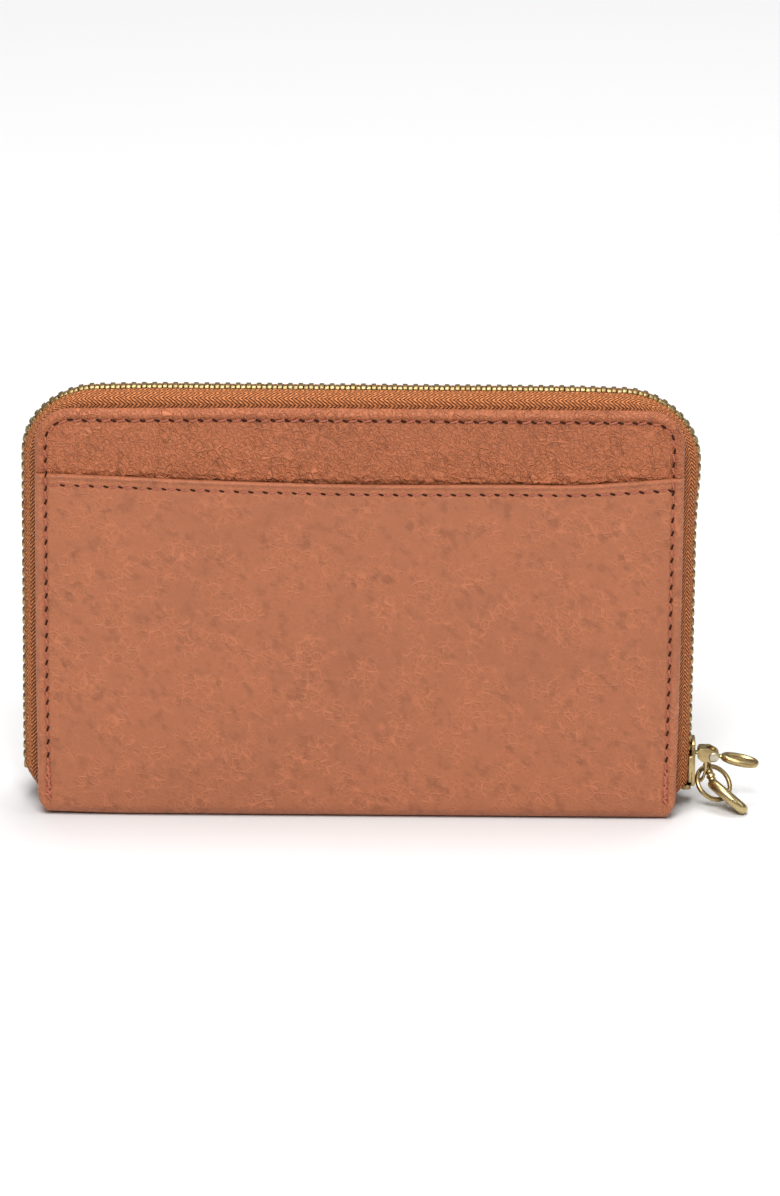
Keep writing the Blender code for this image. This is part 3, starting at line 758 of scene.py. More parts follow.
def front_skin():
    """Leather of the front cover, which goes on round its lower edge and under the spine."""
    total = skin_length(FRONT_TOP, FACE_Y)

    def surface(gap, s, sign):
        near_gap, near_s, inset = gap, s, min(gap, s)
        if s < FRONT_ZONE:
            near_gap, near_s, inset = corner_bend(gap, s, FRONT_CORNER, FRONT_ZONE)
        y, z, normal = fold_path(near_s, FRONT_TOP, FACE_Y, 1)
        x = sign * (HALF_WIDTH - near_gap)
        drop = edge_drop(inset, EDGE_RADIUS)
        face = smooth(z, 1 * MM, 9 * MM)
        inside = smooth(inset, 2 * MM, 9 * MM)
        lift = border_relief(inset) * smooth(z, 0.2 * MM, 4 * MM)
        wave = 0.24 * ripple(x, 5, z, 36 * MM, 1.3) + 0.10 * ripple(x * 1.6, 5, z, 14 * MM, 4.2)
        lift += wave * MM * face * inside
        point = Vector((x, y, z)) + normal * (lift - drop)
        point.y -= front_lean(z)
        point.x -= sign * narrowing(z) * (1 - near_gap / HALF_WIDTH)
        point.z = max(point.z, 0.03 * MM)
        return point, normal, drop

    rows = spread(
        (0, 1.2 * MM, 0.15 * MM), (1.2 * MM, 4.2 * MM, 0.3 * MM), (4.2 * MM, FRONT_ZONE, 0.7 * MM),
        (FRONT_ZONE, FRONT_TOP - 10 * MM, 1.3 * MM), (FRONT_TOP - 10 * MM, total - 6 * MM, 0.45 * MM),
        (total - 6 * MM, total, 1.5 * MM),
    )
    piece = sheet_piece("front_cover_leather", "front", rows, 1.2 * MM, surface, FRONT_THICKNESS)
    blend_to_cover(piece)
    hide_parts("front_panel")


def band_skin():
    """Back cover above and behind the pocket, creased where the pocket's edge presses on it."""
    bottom = 3.2 * MM

    def surface(gap, s, sign):
        near_gap, near_s, inset = corner_bend(gap, s) if s < CORNER_ZONE else (gap, s, min(gap, s))
        z = COVER_TOP - near_s
        x = sign * (HALF_WIDTH - near_gap)
        normal = Vector((0, -1, 0))
        drop = edge_drop(inset, EDGE_RADIUS + 0.15 * MM)
        lift = border_relief(inset)
        above = z - POCKET_TOP + POCKET_DROOP * pocket_sag(x)
        near_edge = smooth(inset, 3.2 * MM, 6 * MM)
        puff = near_edge * bell(above, 0.9 * MM, 1.5 * MM)
        cell = abs(ripple(x * 0.62, 0, z, 2.3 * MM, 9.4)) + 0.8 * abs(
            ripple(x * 0.75 + z * 0.4, 0, z, 1.6 * MM, 2.2)
        )
        lift += 0.62 * MM * puff * min(2.0 * cell, 1.0) - 0.12 * MM * puff
        press = near_edge * math.exp(-max(above, 0) / (7 * MM))
        furrow = max(1 - 4.2 * abs(ripple(x * 0.6 + 0.35 * z, 0, z, 3.2 * MM, 5.1)), 0)
        lift -= 0.12 * MM * press * furrow
        lift -= 0.75 * MM * near_edge * (1 - smooth(above, -1.9 * MM, 0.1 * MM))
        wave = 0.16 * ripple(x, 2, z, 22 * MM, 6.0)
        lift += wave * MM * smooth(inset, 3 * MM, 8 * MM)
        if z < POCKET_TOP - 4 * MM:
            lift = -0.3 * MM
        lift = max(lift, -0.7 * MM)
        point = Vector((x, -BAND_Y, z)) + normal * (lift - drop)
        point.x -= sign * narrowing(z) * (1 - near_gap / HALF_WIDTH)
        point.z -= top_sag(x, z)
        return point, normal, drop

    rows = spread(
        (0, 1.2 * MM, 0.15 * MM), (1.2 * MM, 4.2 * MM, 0.3 * MM), (4.2 * MM, 8 * MM, 0.35 * MM),
        (8 * MM, 22 * MM, 0.3 * MM), (22 * MM, COVER_TOP - bottom, 6 * MM),
    )
    piece = sheet_piece("back_cover_leather", "band", rows, 0.5 * MM, surface, BAND_Y - BACK_INNER_Y)
    return place(piece, "back_cover", "outer_leather", "back_panel")


# ---------------------------------------------------------------- seams


def seam_path(inset, low_z, half_width=HALF_WIDTH, top=COVER_TOP, radius=CORNER_RADIUS):
    """Function of length along a seam inside the cover's outline: (x, z, tangent x, tangent z)."""
    bend = radius - inset
    side = half_width - inset
    rise = top - radius - low_z
    across = 2 * (half_width - radius)
    quarter = math.pi * bend / 2
    total = 2 * rise + 2 * quarter + across

    def at(length):
        if length < rise:
            return -side, low_z + length, 0.0, 1.0
        length -= rise
        if length < quarter:
            angle = length / bend
            x = -half_width + radius - bend * math.cos(angle)
            return x, top - radius + bend * math.sin(angle), math.sin(angle), math.cos(angle)
        length -= quarter
        if length < across:
            return -half_width + radius + length, top - inset, 1.0, 0.0
        length -= across
        if length < quarter:
            angle = length / bend
            x = half_width - radius + bend * math.sin(angle)
            return x, top - radius + bend * math.cos(angle), math.cos(angle), -math.sin(angle)
        length -= quarter
        return side, top - radius - length, 0.0, -1.0

    return at, total


def thread_rings(start, stop, normal, radius, sink):
    """Rings of one stitch: a short thread that dips into the leather at both ends."""
    steps, sides = 7, 7
    along = (stop - start)
    across = along.cross(normal).normalized()
    rings = []
    for i in range(steps + 1):
        share = i / steps
        rise = radius * 0.55 * math.sin(math.pi * share) ** 0.5 - sink * (
            1 - math.sin(math.pi * share) ** 0.4
        )
        middle = start + along * share + normal * rise
        girth = radius * (0.72 + 0.28 * math.sin(math.pi * share))
        rings.append([
            middle + (
                across * math.cos(2 * math.pi * k / sides) + normal * 0.7 * math.sin(
                    2 * math.pi * k / sides
                )
            ) * girth
            for k in range(sides)
        ])
    return rings


def ring_soup(name, groups, mat):
    """One object from many small closed solids, each a list of rings."""
    points, faces = [], []
    for rings in groups:
        new_points, new_faces = loft(rings)
        offset = len(points)
        points += new_points
        faces += [tuple(i + offset for i in face) for face in new_faces]
    return faces_object(name, points, faces, mat, sharp=60)


def stitch_line(name, body, spots, slot="outer_leather", scale=1.0):
    """Stitches at spots (position, tangent, outward normal), each followed by a near-black dash painted as the
    shadow of its needle hole.
    """
    threads, holes = [], []
    for index, (middle, tangent, normal) in enumerate(spots):
        aside = normal.cross(tangent)
        wobble = 0.06 * MM * math.sin(index * 2.4)
        lean = (0.27 * MM + wobble) * scale
        half = 1.18 * MM * scale
        start = middle - tangent * half - aside * lean
        stop = middle + tangent * half + aside * lean
        threads.append(thread_rings(start, stop, normal, 0.26 * MM * scale, 0.30 * MM))
        # painted shadow: a dark raised dash where the needle hole's shade falls
        mouth = middle + tangent * (STITCH_PITCH / 2) * scale
        slant = (tangent * 0.95 - aside * 0.31).normalized()
        reach = 0.84 * MM * scale
        holes.append(
            thread_rings(mouth - slant * reach, mouth + slant * reach, normal, 0.25 * MM * scale, 0.34 * MM)
        )
    place(ring_soup(name + "_thread", threads, "thread"), body, slot)
    place(ring_soup(name + "_holes", holes, "hole"), body, slot)


def perimeter_spots(surface_y, side, low_z, top, radius):
    """Stitch places round a cover's outline, starting and ending above the fold."""
    at, total = seam_path(STITCH_INSET, low_z, top=top, radius=radius)
    count = round(total / STITCH_PITCH)
    spots = []
    for i in range(count):
        x, z, tx, tz = at((i + 0.5) * total / count)
        x -= math.copysign(narrowing(z), x) * abs(x) / HALF_WIDTH
        y = surface_y(x, z)
        z -= top_sag(x, z) if side < 0 else 0.0
        spots.append((Vector((x, y, z)), Vector((tx, 0, tz)), Vector((0, side, 0))))
    return spots


def back_seam_y(x, z):
    """Outer surface under the back cover's perimeter stitches."""
    on_pocket = z < POCKET_TOP - 0.1 * MM
    return -(POCKET_Y if on_pocket else BAND_Y) + 0.13 * MM


def front_seam_y(x, z):
    return FACE_Y - 0.13 * MM - front_lean(z)


def back_tacks():
    """The overlapping stitches that lock the seams just above the lower corners."""
    tacks = []
    for sign in (-1, 1):
        for i in range(11):
            z = 12.4 * MM - i * 0.72 * MM
            x = sign * (HALF_WIDTH - STITCH_INSET + 0.18 * MM * math.sin(i * 1.9)) - sign * narrowing(z)
            lean = (0.30 + 0.25 * smooth(i, 6, 10)) * MM * (1 if i % 2 else -1)
            start = Vector((x - lean, -POCKET_Y - 0.02 * MM, z - 0.85 * MM))
            stop = Vector((x + lean, -POCKET_Y - 0.02 * MM, z + 0.85 * MM))
            tacks.append(thread_rings(start, stop, Vector((0, -1, 0)), 0.28 * MM, 0.16 * MM))
    return place(ring_soup("back_seam_tacks", tacks, "tack"), "back_cover", "outer_leather")


def pocket_edge_spots():
    """Stitch places below the slip pocket's top edge, following its droop and gape."""
    half = HALF_WIDTH - STITCH_INSET - 0.6 * MM
    count = round(2 * half / STITCH_PITCH)
    spots = []
    for i in range(count):
        x = -half + (i + 0.5) * 2 * half / count
        s = POCKET_STITCH_DROP
        sag = pocket_sag(x)
        z = POCKET_TOP - s - POCKET_DROOP * sag * math.exp(-s / (14 * MM))
        gape = 0.9 * POCKET_GAPE * sag * bell(s, 0, 9 * MM)
        gap = HALF_WIDTH - abs(x)
        inside = smooth(gap, 2 * MM, 9 * MM)
        lift = border_relief(gap) - 0.17 * MM + gape + pocket_wave(x, z) * MM * inside
        spots.append((Vector((x, -POCKET_Y - lift, z)), Vector((1, 0, 0)), Vector((0, -1, 0))))
    return spots


# ---------------------------------------------------------------- zip


def chain_shift(point):
    """How far the chain leans away from a plain rounded outline, by position across the zip."""
    up = smooth(point.z, 86 * MM, ZIP_TOP - 1.5 * MM)
    flank = smooth(abs(point.x), ZIP_HALF_WIDTH - 34 * MM, ZIP_HALF_WIDTH - 8 * MM)
    drop = -up * (ZIP_LEAN * point.y + 0.5 * MM + ZIP_DROP * flank)
    bulge = 0.75 * MM * bell(point.z, 87 * MM, 9 * MM) if point.x > 0 else 0.0
    tuck = TAPER_DEPTH * (1 - left_taper(point.z)) if point.x < 0 else 0.0
    return Vector(
        (smooth(abs(point.x), ZIP_HALF_WIDTH - 8 * MM, ZIP_HALF_WIDTH - 3 * MM) * (bulge + tuck), 0, drop)
    )


def left_taper(z):
    """Share of the chain's full reach at its closed end, where it turns in towards the spine."""
    return smooth(z, 1.0 * MM, 10.4 * MM)


def outline_station(kind, value, half_width, top, radius):
    """A point and outward direction on a rounded outline: on a side at height z, a corner or the top."""
    if kind == "right":
        return Vector((half_width, 0, value)), Vector((1, 0, 0))
    if kind == "left":
        return Vector((-half_width, 0, value)), Vector((-1, 0, 0))
    if kind == "top":
        return Vector((value * (half_width - radius), 0, top)), Vector((0, 0, 1))
    sign = 1 if kind == "right_corner" else -1
    out = Vector((sign * math.cos(value), 0, math.sin(value)))
    centre = Vector((sign * (half_width - radius), 0, top - radius))
    return centre + out * radius, out


def zip_stations(right_low, left_low, step=1.6 * MM, corner_steps=22):
    """Stations (kind, value) from the right end over the top to the left end."""
    stations = []
    shoulder = ZIP_TOP - ZIP_RADIUS
    count = round((shoulder - right_low) / step)
    stations += [("right", right_low + (shoulder - right_low) * i / count) for i in range(count)]
    stations += [("right_corner", math.pi / 2 * i / corner_steps) for i in range(corner_steps)]
    wide = round(2 * (ZIP_HALF_WIDTH - ZIP_RADIUS) / step)
    stations += [("top", 1 - 2 * i / wide) for i in range(wide)]
    stations += [("left_corner", math.pi / 2 * (1 - i / corner_steps)) for i in range(corner_steps)]
    count = round((shoulder - left_low) / step)
    stations += [("left", shoulder - (shoulder - left_low) * i / count) for i in range(count + 1)]
    return stations


def tape_root(kind, value, top, radius):
    """Where the tape meets a cover's own rounded outline, level with a station of the zip."""
    half, top, radius = (size - TAPE_ROOT_INSET for size in (HALF_WIDTH, top, radius))
    arc_x, arc_z = half - radius, top - radius
    if kind in ("left", "right"):
        x = arc_x + math.sqrt(radius ** 2 - max(value - arc_z, 0) ** 2)
        return Vector((x if kind == "right" else -x, 0, value))
    centre_x, centre_z = ZIP_HALF_WIDTH - ZIP_RADIUS, ZIP_TOP - ZIP_RADIUS
    if kind == "top":
        x = value * centre_x
        return Vector((x, 0, arc_z + math.sqrt(radius ** 2 - max(abs(x) - arc_x, 0) ** 2)))
    cos, sin = math.cos(value), math.sin(value)
    if cos > 0.01 and centre_z + (half - centre_x) * sin / cos <= arc_z:
        reach = (half - centre_x) / cos
    elif sin > 0.01 and centre_x + (top - centre_z) * cos / sin <= arc_x:
        reach = (top - centre_z) / sin
    else:
        dx, dz = centre_x - arc_x, centre_z - arc_z
        along = cos * dx + sin * dz
        reach = math.sqrt(along ** 2 + radius ** 2 - dx ** 2 - dz ** 2) - along
    sign = 1 if kind == "right_corner" else -1
    return Vector((sign * (centre_x + reach * cos), 0, centre_z + reach * sin))


def tape_piece(side, body, name):
    """Woven tape from behind the cover's edge up to a beaded edge between the teeth."""
    right_low, left_low = 3.6 * MM, 1.6 * MM
    stations = zip_stations(right_low, left_low)
    sections = 16
    rings, uvs = [], []
    travelled = 0.0
    previous = None
    cover_top, cover_corner = (COVER_TOP, CORNER_RADIUS) if side < 0 else (FRONT_TOP, FRONT_CORNER)
    for kind, value in stations:
        root = tape_root(kind, value, cover_top, cover_corner)
        crest, out = outline_station(
            kind, value, ZIP_HALF_WIDTH - TAPE_EDGE_INSET, ZIP_TOP - TAPE_EDGE_INSET, ZIP_RADIUS - TAPE_EDGE_INSET
        )
        if previous is not None:
            travelled += (crest - previous).length
        previous = crest
        closeness = 1.0
        if kind == "right":
            closeness = smooth(value, 3.2 * MM, 6.6 * MM)
        elif kind == "left":
            closeness = left_taper(value)
        outer, inner = [], []
        for i in range(sections + 1):
            a = i / sections
            rise = math.sin(a * math.pi / 2) ** 0.85 * closeness
            flat = root.lerp(crest, rise)
            y = TAPE_ROOT_Y - TAPE_REACH * a ** 1.12
            bead = 0.22 * MM * bell(a, 0.97, 0.05)
            outer.append(Vector((flat.x, side * y, flat.z)) + out * bead)
            inner.append(Vector((flat.x, side * (y + 0.12 * MM), flat.z)) - out * 0.42 * MM)
            shift = chain_shift(Vector((crest.x, side * y, crest.z))) * rise
            if closeness < 1:
                shift.x = 0.0
            outer[-1] += shift
            inner[-1] += shift
        rings.append(outer + inner[::-1])
        across = [i / sections * TAPE_WIDTH for i in range(sections + 1)]
        uvs += [(travelled, v) for v in across] + [(travelled, v) for v in across[::-1]]
    points, faces = loft(rings)
    if side > 0:
        faces = [tuple(reversed(face)) for face in faces]
    piece = mesh_object(name, points, faces, "tape", uvs=uvs, sharp=180)
    return place(piece, body, "zip_tape", body.split("_")[0] + "_zip_tape")


def tooth_template():
    """One bevelled tooth in local axes: x across towards the other row, y outwards, z along the zip."""
    outline = [
        (-2.7, 1.35), (-0.9, 1.05), (0.55, 1.25), (0.95, 1.7), (0.95, 2.45), (0.6, 2.95), (-0.5, 3.3),
        (-2.2, 3.3), (-2.7, 2.8)
    ]
    half = TOOTH_THICKNESS / 2
    tooth = bmesh_object("tooth", prism([(a * MM, b * MM) for a, b in outline], 2, -half, half), "teeth")
    soften(tooth, 0.16 * MM, 2, 20)
    points = [v.co.copy() for v in tooth.data.vertices]
    faces = [tuple(p.vertices) for p in tooth.data.polygons]
    bpy.data.objects.remove(tooth)
    return points, faces


def zip_length_station(length):
    """Station at a distance along the teeth, from the slider's end over the top to the left."""
    shoulder = ZIP_TOP - ZIP_RADIUS
    rise = shoulder - TOOTH_START_Z
    quarter = math.pi / 2 * (ZIP_RADIUS - 1.1 * MM)
    across = 2 * (ZIP_HALF_WIDTH - ZIP_RADIUS)
    if length < rise:
        return "right", TOOTH_START_Z + length
    length -= rise
    if length < quarter:
        return "right_corner", math.pi / 2 * length / quarter
    length -= quarter
    if length < across:
        return "top", 1 - 2 * length / across
    length -= across
    if length < quarter:
        return "left_corner", math.pi / 2 * (1 - length / quarter)
    return "left", shoulder - (length - quarter)


def tooth_row(side, body, name, phase, template):
    """All the teeth of one side, meshed with the other side's above the slider."""
    points, faces = [], []
    base_points, base_faces = template
    length = phase * TOOTH_PITCH
    while True:
        kind, value = zip_length_station(length)
        if kind == "left" and value < BOTTOM_STOP_TOP + 0.7 * MM:
            break
        spot, out = outline_station(
            kind, value, ZIP_HALF_WIDTH - TOOTH_HEIGHT, ZIP_TOP - TOOTH_HEIGHT, ZIP_RADIUS - TOOTH_HEIGHT
        )
        apart = 0.0
        if kind == "right":
            apart = 1.25 * MM * (1 - smooth(value, TOOTH_MESHED_Z - 4.5 * MM, TOOTH_MESHED_Z))
        along = Vector((-out.z, 0, out.x))
        toward = Vector((0, -side, 0))
        offset = len(points)
        for co in base_points:
            point = spot + toward * (co.x - apart) + out * co.y + along * co.z
            points.append(point + chain_shift(point))
        flip = side > 0
        for face in base_faces:
            ordered = tuple(offset + i for i in face)
            faces.append(tuple(reversed(ordered)) if flip else ordered)
        length += TOOTH_PITCH
    piece = faces_object(name, points, faces, "teeth", sharp=60)
    return place(piece, body, "zip_metal", body.split("_")[0] + "_teeth")


def rounded_block(name, low, high, radius, segments=3, mat="brass"):
    return soften(bmesh_object(name, block(low, high), mat), radius, segments)


def stop_piece(name, radius, body, node):
    """A rounded metal stop that fills its CAD node's box."""
    place(rounded_block(name, *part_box(node), radius, 4, "teeth"), body, "zip_metal", node)


def stops():
    """Crimped stops at both ends of the zip."""
    for label, body in (("back", "back_cover"), ("front", "front_cover")):
        stop_piece(label + "_stop", 0.35 * MM, body, label + "_top_stop")
    stop_piece("bottom_stop", 0.45 * MM, "back_cover", "zip_bottom_stop")


# ---------------------------------------------------------------- slider and pull


def plate_outline(centre_z, half_depth, half_length, top_share=0.5):
    """A slider plate seen from the side: broad at the foot and drawn in to a blunt nose at the top."""
    foot, head = centre_z - half_length, centre_z + half_length
    right = [
        (0.55 * half_depth, foot), (0.85 * half_depth, foot + 0.10 * half_length),
        (half_depth, foot + 0.32 * half_length), (half_depth, foot + 0.75 * half_length),
        (0.90 * half_depth, foot + 1.25 * half_length), (
            (top_share + 0.22) * half_depth, head - 0.30 * half_length
        ),
        (
            top_share * half_depth + 0.10 * half_depth, head - 0.08 * half_length
        ), (top_share * half_depth - 0.12 * half_depth, head),
    ]
    return right + [(-a, b) for a, b in reversed(right)]


def slider():
    """Slider with crowned plates, flanges, post and arched crown."""
    low, high = SLIDER_LOW, SLIDER_HIGH
    plate_x = 81.15 * MM
    centre_z = (low.z + high.z) / 2
    half_length = (high.z - low.z) / 2
    outline = plate_outline(centre_z, high.y, half_length)
    outer = bmesh_object("slider", prism(outline, 0, plate_x - MM, plate_x), "brass")
    soften(outer, 0.32 * MM, 4)
    inner = bmesh_object("inner", prism(outline, 0, low.x, low.x + 1.1 * MM), "brass")
    soften(inner, 0.3 * MM, 3)
    pieces = [outer, inner]
    post_low = (low.x + 0.4 * MM, -0.6 * MM, high.z - 3.4 * MM)
    post_high = (plate_x - 0.4 * MM, 0.6 * MM, high.z - 0.6 * MM)
    pieces.append(rounded_block("post", post_low, post_high, 0.25 * MM))
    for side in (-1, 1):
        near, far = sorted((side * 3.5 * MM, side * 4.42 * MM))
        for x0, x1 in ((plate_x - 1.7 * MM, plate_x - 0.4 * MM), (low.x + 0.4 * MM, low.x + 1.5 * MM)):
            flange_low, flange_high = (x0, near, low.z + 1.7 * MM), (x1, far, high.z - 3.2 * MM)
            pieces.append(rounded_block("flange", flange_low, flange_high, 0.25 * MM))
    crown_z, reach, rise = 9.1 * MM, 2.6 * MM, 3.75 * MM
    rings = []
    steps = 40
    for i in range(steps + 1):
        angle = math.pi * i / steps
        bulge = math.sin(angle) ** 0.5
        middle = Vector(
            (
                plate_x + reach * bulge - (0.5 * MM if i in (0, steps) else 0), 0,
                crown_z - rise * math.cos(angle)
            )
        )
        outward = Vector((math.sin(angle), 0, -math.cos(angle)))
        half_y = (0.62 + 0.25 * abs(math.cos(angle)) ** 3) * MM
        ring = []
        for a, b in boxy_circle(12, 0.6):
            ring.append(middle + outward * 0.36 * MM * a + Vector((0, half_y * b, 0)))
        rings.append(ring)
    pieces.append(solid("crown", rings, "brass", sharp=180))
    return place(join("slider", pieces), "zip_slider", "pull_brass", "slider_body")


def link():
    """Boxy link with rounded ends, open underneath, on a bar through the crown."""
    low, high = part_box("pull_link")
    pin = JOINTS["puller_swing"]["pos_m"]
    bar = JOINTS["link_swing"]["pos_m"]
    corner = 0.8 * MM
    half = high.y
    outline = [(low.x, low.z + 1.1 * MM), (low.x + 1.1 * MM, low.z)]
    outline += arc((pin[0], low.z + 1.35 * MM), 1.35 * MM, -90, 60, 14)
    outline += [(low.x + 2.9 * MM, high.z)]
    outline += arc((low.x + corner, high.z - corner), corner, 90, 180, 8)
    piece = bmesh_object("link", prism(outline, 1, -half, half), "brass")
    slot = bmesh_object(
        "slot",
        block((low.x - MM, -0.95 * MM, low.z - MM), (low.x + 3.9 * MM, 0.95 * MM, high.z - 0.6 * MM)),
        "brass"
    )
    combine(piece, slot, "DIFFERENCE")
    fork = bmesh_object(
        "fork", block((low.x + 2.2 * MM, -0.95 * MM, low.z - MM), (high.x + MM, 0.95 * MM, high.z + MM)),
        "brass"
    )
    combine(piece, fork, "DIFFERENCE")
    soften(piece, 0.22 * MM, 3)
    rod_piece = rod(
        "bar", (bar[0], -half + 0.4 * MM, bar[2]), (bar[0], half - 0.4 * MM, bar[2]), 0.4 * MM, "brass"
    )
    place(join("link", [piece, rod_piece]), "pull_link", "pull_brass", "pull_link")
    head = half + 0.38 * MM
    profile = [
        (-head, 0.8 * MM), (
            -head + 0.10 * MM, 1.12 * MM
        ), (-head + 0.25 * MM, 1.2 * MM), (-half - 0.02 * MM, 1.2 * MM),
        (-half + 0.1 * MM, 0.45 * MM), (half - 0.1 * MM, 0.45 * MM), (half + 0.02 * MM, 1.2 * MM),
        (head - 0.25 * MM, 1.2 * MM), (head - 0.10 * MM, 1.12 * MM), (head, 0.8 * MM),
    ]
    rivet = turned("rivet", pin, (0, 1, 0), profile, "steel")
    place(rivet, "pull_link", "pull_brass", "link_pin")


def puller():
    """Flattened oval ring with a neck and a knuckle round the rivet."""
    pin = Vector(JOINTS["puller_swing"]["pos_m"])
    slope = math.radians(-12)
    along = Vector((math.cos(slope), 0, math.sin(slope)))
    across = Vector((0, 1, 0))
    start, half_length, half_width = 2.6 * MM, 3.9 * MM, 1.95 * MM
    centre = pin + along * (start + half_length)
    oval = wire_oval(
        "puller", centre, along, across, half_length, half_width, 0.84 * MM, 0.84 * MM, "brass", square=2.3
    )
    normal = along.cross(across)
    rings = []
    for i in range(13):
        share = i / 12
        middle = pin + along * (0.6 * MM + share * (start - 0.4 * MM))
        flare = 0.50 + 0.55 * abs(share - 0.45) ** 1.5
        ring = []
        for k in range(16):
            turn = 2 * math.pi * k / 16
            ring.append(
                middle + across * 1.25 * flare * MM * math.cos(turn) + normal * 0.95 * flare * MM * math.sin(
                    turn
                )
            )
        rings.append(ring)
    neck = solid("neck", rings, "brass", sharp=180)
    profile = [
        (-0.8 * MM, 0.8 * MM), (-0.72 * MM, 0.98 * MM), (-0.5 * MM, 1.05 * MM), (0.5 * MM, 1.05 * MM),
        (0.72 * MM, 0.98 * MM), (0.8 * MM, 0.8 * MM)
    ]
    knuckle = turned("knuckle", pin, (0, 1, 0), profile, "brass")
    place(join("puller", [oval, neck, knuckle]), "puller", "pull_brass", "puller_ring")


def jump_ring():
    """Round wire ring through the slider's crown."""
    along = RING_NORMAL.cross(Vector((0, 0, 1))).normalized()
    across = RING_NORMAL.cross(along)
    ring = wire_oval(
        "split_ring", RING_CENTRE, along, across, RING_RADIUS, RING_RADIUS, RING_WIRE, RING_WIRE, "brass",
        steps=96
    )
    return place(ring, "jump_ring", "pull_brass", "jump_ring")


def swivel():
    """Swivel eye with a beaded post, and the thick loop below it."""
    eye_joint, turn_joint = JOINTS["swivel_swing"], JOINTS["swivel_turn"]
    centre = Vector(turn_joint["pos_m"])
    post = Vector(turn_joint["axis"]).normalized()
    wire_direction = Vector(eye_joint["axis"]).normalized()
    across = wire_direction.cross(post).normalized()
    along = across.cross(wire_direction).normalized()
    eye = wire_oval(
        "swivel", centre, along, across, 1.3 * MM, 1.3 * MM, 0.38 * MM, 0.42 * MM, "brass", steps=48
    )
    end = (LOOP_TOP - centre).length - 1.0 * MM
    start = 1.1 * MM
    span = end - start
    profile = [(start, 0.4 * MM)]
    for bead in range(3):
        middle = start + span * (bead + 0.5) / 3
        girth = (0.95, 1.12, 0.98)[bead] * MM
        for share in (-0.42, -0.28, 0.0, 0.28, 0.42):
            profile.append(
                (
                    middle + span / 3 * share,
                    0.45 * MM + (girth - 0.45 * MM) * (1 - (share / 0.5) ** 2) ** 0.7
                )
            )
    profile.append((end, 0.42 * MM))
    stem = turned("stem", centre, post, profile, "brass")
    place(join("swivel", [eye, stem]), "swivel_eye", "pull_brass", "swivel_eye")
    loop_along = (LOOP_END - LOOP_TOP).normalized()
    side = (LOOP_SIDE - loop_along * LOOP_SIDE.dot(loop_along)).normalized()
    half_length = (LOOP_END - LOOP_TOP).length / 2
    loop = wire_oval(
        "swivel_link", (
            LOOP_TOP + LOOP_END
        ) / 2, loop_along, side, half_length, LOOP_HALF_WIDTH, 1.3 * LOOP_WIRE, 1.18 * LOOP_WIRE,
        "brass", steps=80, sides=22, square=2.15,
    )
    place(loop, "swivel_loop", "pull_brass", "swivel_loop")


# ---------------------------------------------------------------- inside


def thumb_notch(x):
    """Depth of the notch in the middle of the front card pocket's top edge."""
    return 5 * MM * math.exp(-(x / (9 * MM)) ** 4)


def layer_piece(node, body, mat, slot, stitched=True, notch=False):
    """A sewn layer with rounded upper corners, a rolled top edge and a stitch line under it."""
    low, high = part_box(node)
    facing = -1 if low.y > 0 else 1
    half = high.x
    radius = 3 * MM
    top = high.z
    thickness = high.y - low.y
    columns = spread(
        (-half, -half + 6 * MM, 0.5 * MM), (-half + 6 * MM, half - 6 * MM, 2.5 * MM),
        (half - 6 * MM, half, 0.5 * MM)
    )
    rows = spread((0, 0.5 * MM, 0.1 * MM), (0.5 * MM, 4 * MM, 0.35 * MM), (4 * MM, top - low.z, 4 * MM))
    face_y = high.y if facing > 0 else low.y
    back_y = low.y if facing > 0 else high.y
    outer, inner = [], []
    for s in rows:
        for x in columns:
            gap = half - abs(x)
            round_off = 0.0
            if gap < radius:
                round_off = radius - math.sqrt(radius * radius - (radius - gap) ** 2)
            dip = thumb_notch(x) if notch else 0.0
            z = top - s - (round_off + dip) * math.exp(-s / (6 * MM))
            drop = edge_drop(s, 0.18 * MM) + edge_drop(gap, 0.18 * MM)
            groove = 0.06 * MM * bell(s, 2 * MM, 0.35 * MM) if stitched else 0.0
            wave = 0.05 * MM * ripple(x, 0, z, 18 * MM, 1.7)
            outer.append(
                Vector((x, face_y - facing * (min(drop, thickness * 0.4) + groove + abs(wave)), z))
            )
            inner.append(Vector((x, back_y, z)))
    faces = slab_faces(len(columns), len(rows))
    place(faces_object(node + "_layer", outer + inner, faces, mat, sharp=60), body, slot, node)
    if stitched:
        spots = []
        count = round((2 * half - 8 * MM) / STITCH_PITCH)
        for i in range(count):
            x = -half + 4 * MM + (i + 0.5) * (2 * half - 8 * MM) / count
            dip = thumb_notch(x) if notch else 0.0
            z = top - 2 * MM - dip * math.exp(-2 / 6)
            spots.append(
                (Vector((x, face_y - facing * 0.06 * MM, z)), Vector((1, 0, 0)), Vector((0, facing, 0)))
            )
        stitch_line(node, body, spots, "card_leather", 0.7)


def interior():
    """Linings, card pockets and the coin pocket with its zip."""
    for label in ("back", "front"):
        body = label + "_cover"
        layer_piece(label + "_lining", body, "lining", "lining_fabric", stitched=False)
        for layer in range(1, 5):
            layer_piece(f"{label}_card_pocket_{layer}", body, "card", "card_leather", notch=layer == 4)
        layer_piece(f"coin_pocket_{label}_wall", "spine", "lining", "lining_fabric")
        coin_tape(f"coin_zip_{label}_tape")
        coin_teeth(f"coin_zip_{label}_teeth", 0.0 if label == "back" else 0.5)
    for label in ("left", "right"):
        stop_piece(f"coin_stop_{label}", 0.3 * MM, "spine", f"coin_zip_{label}_stop")
    coin_pull()


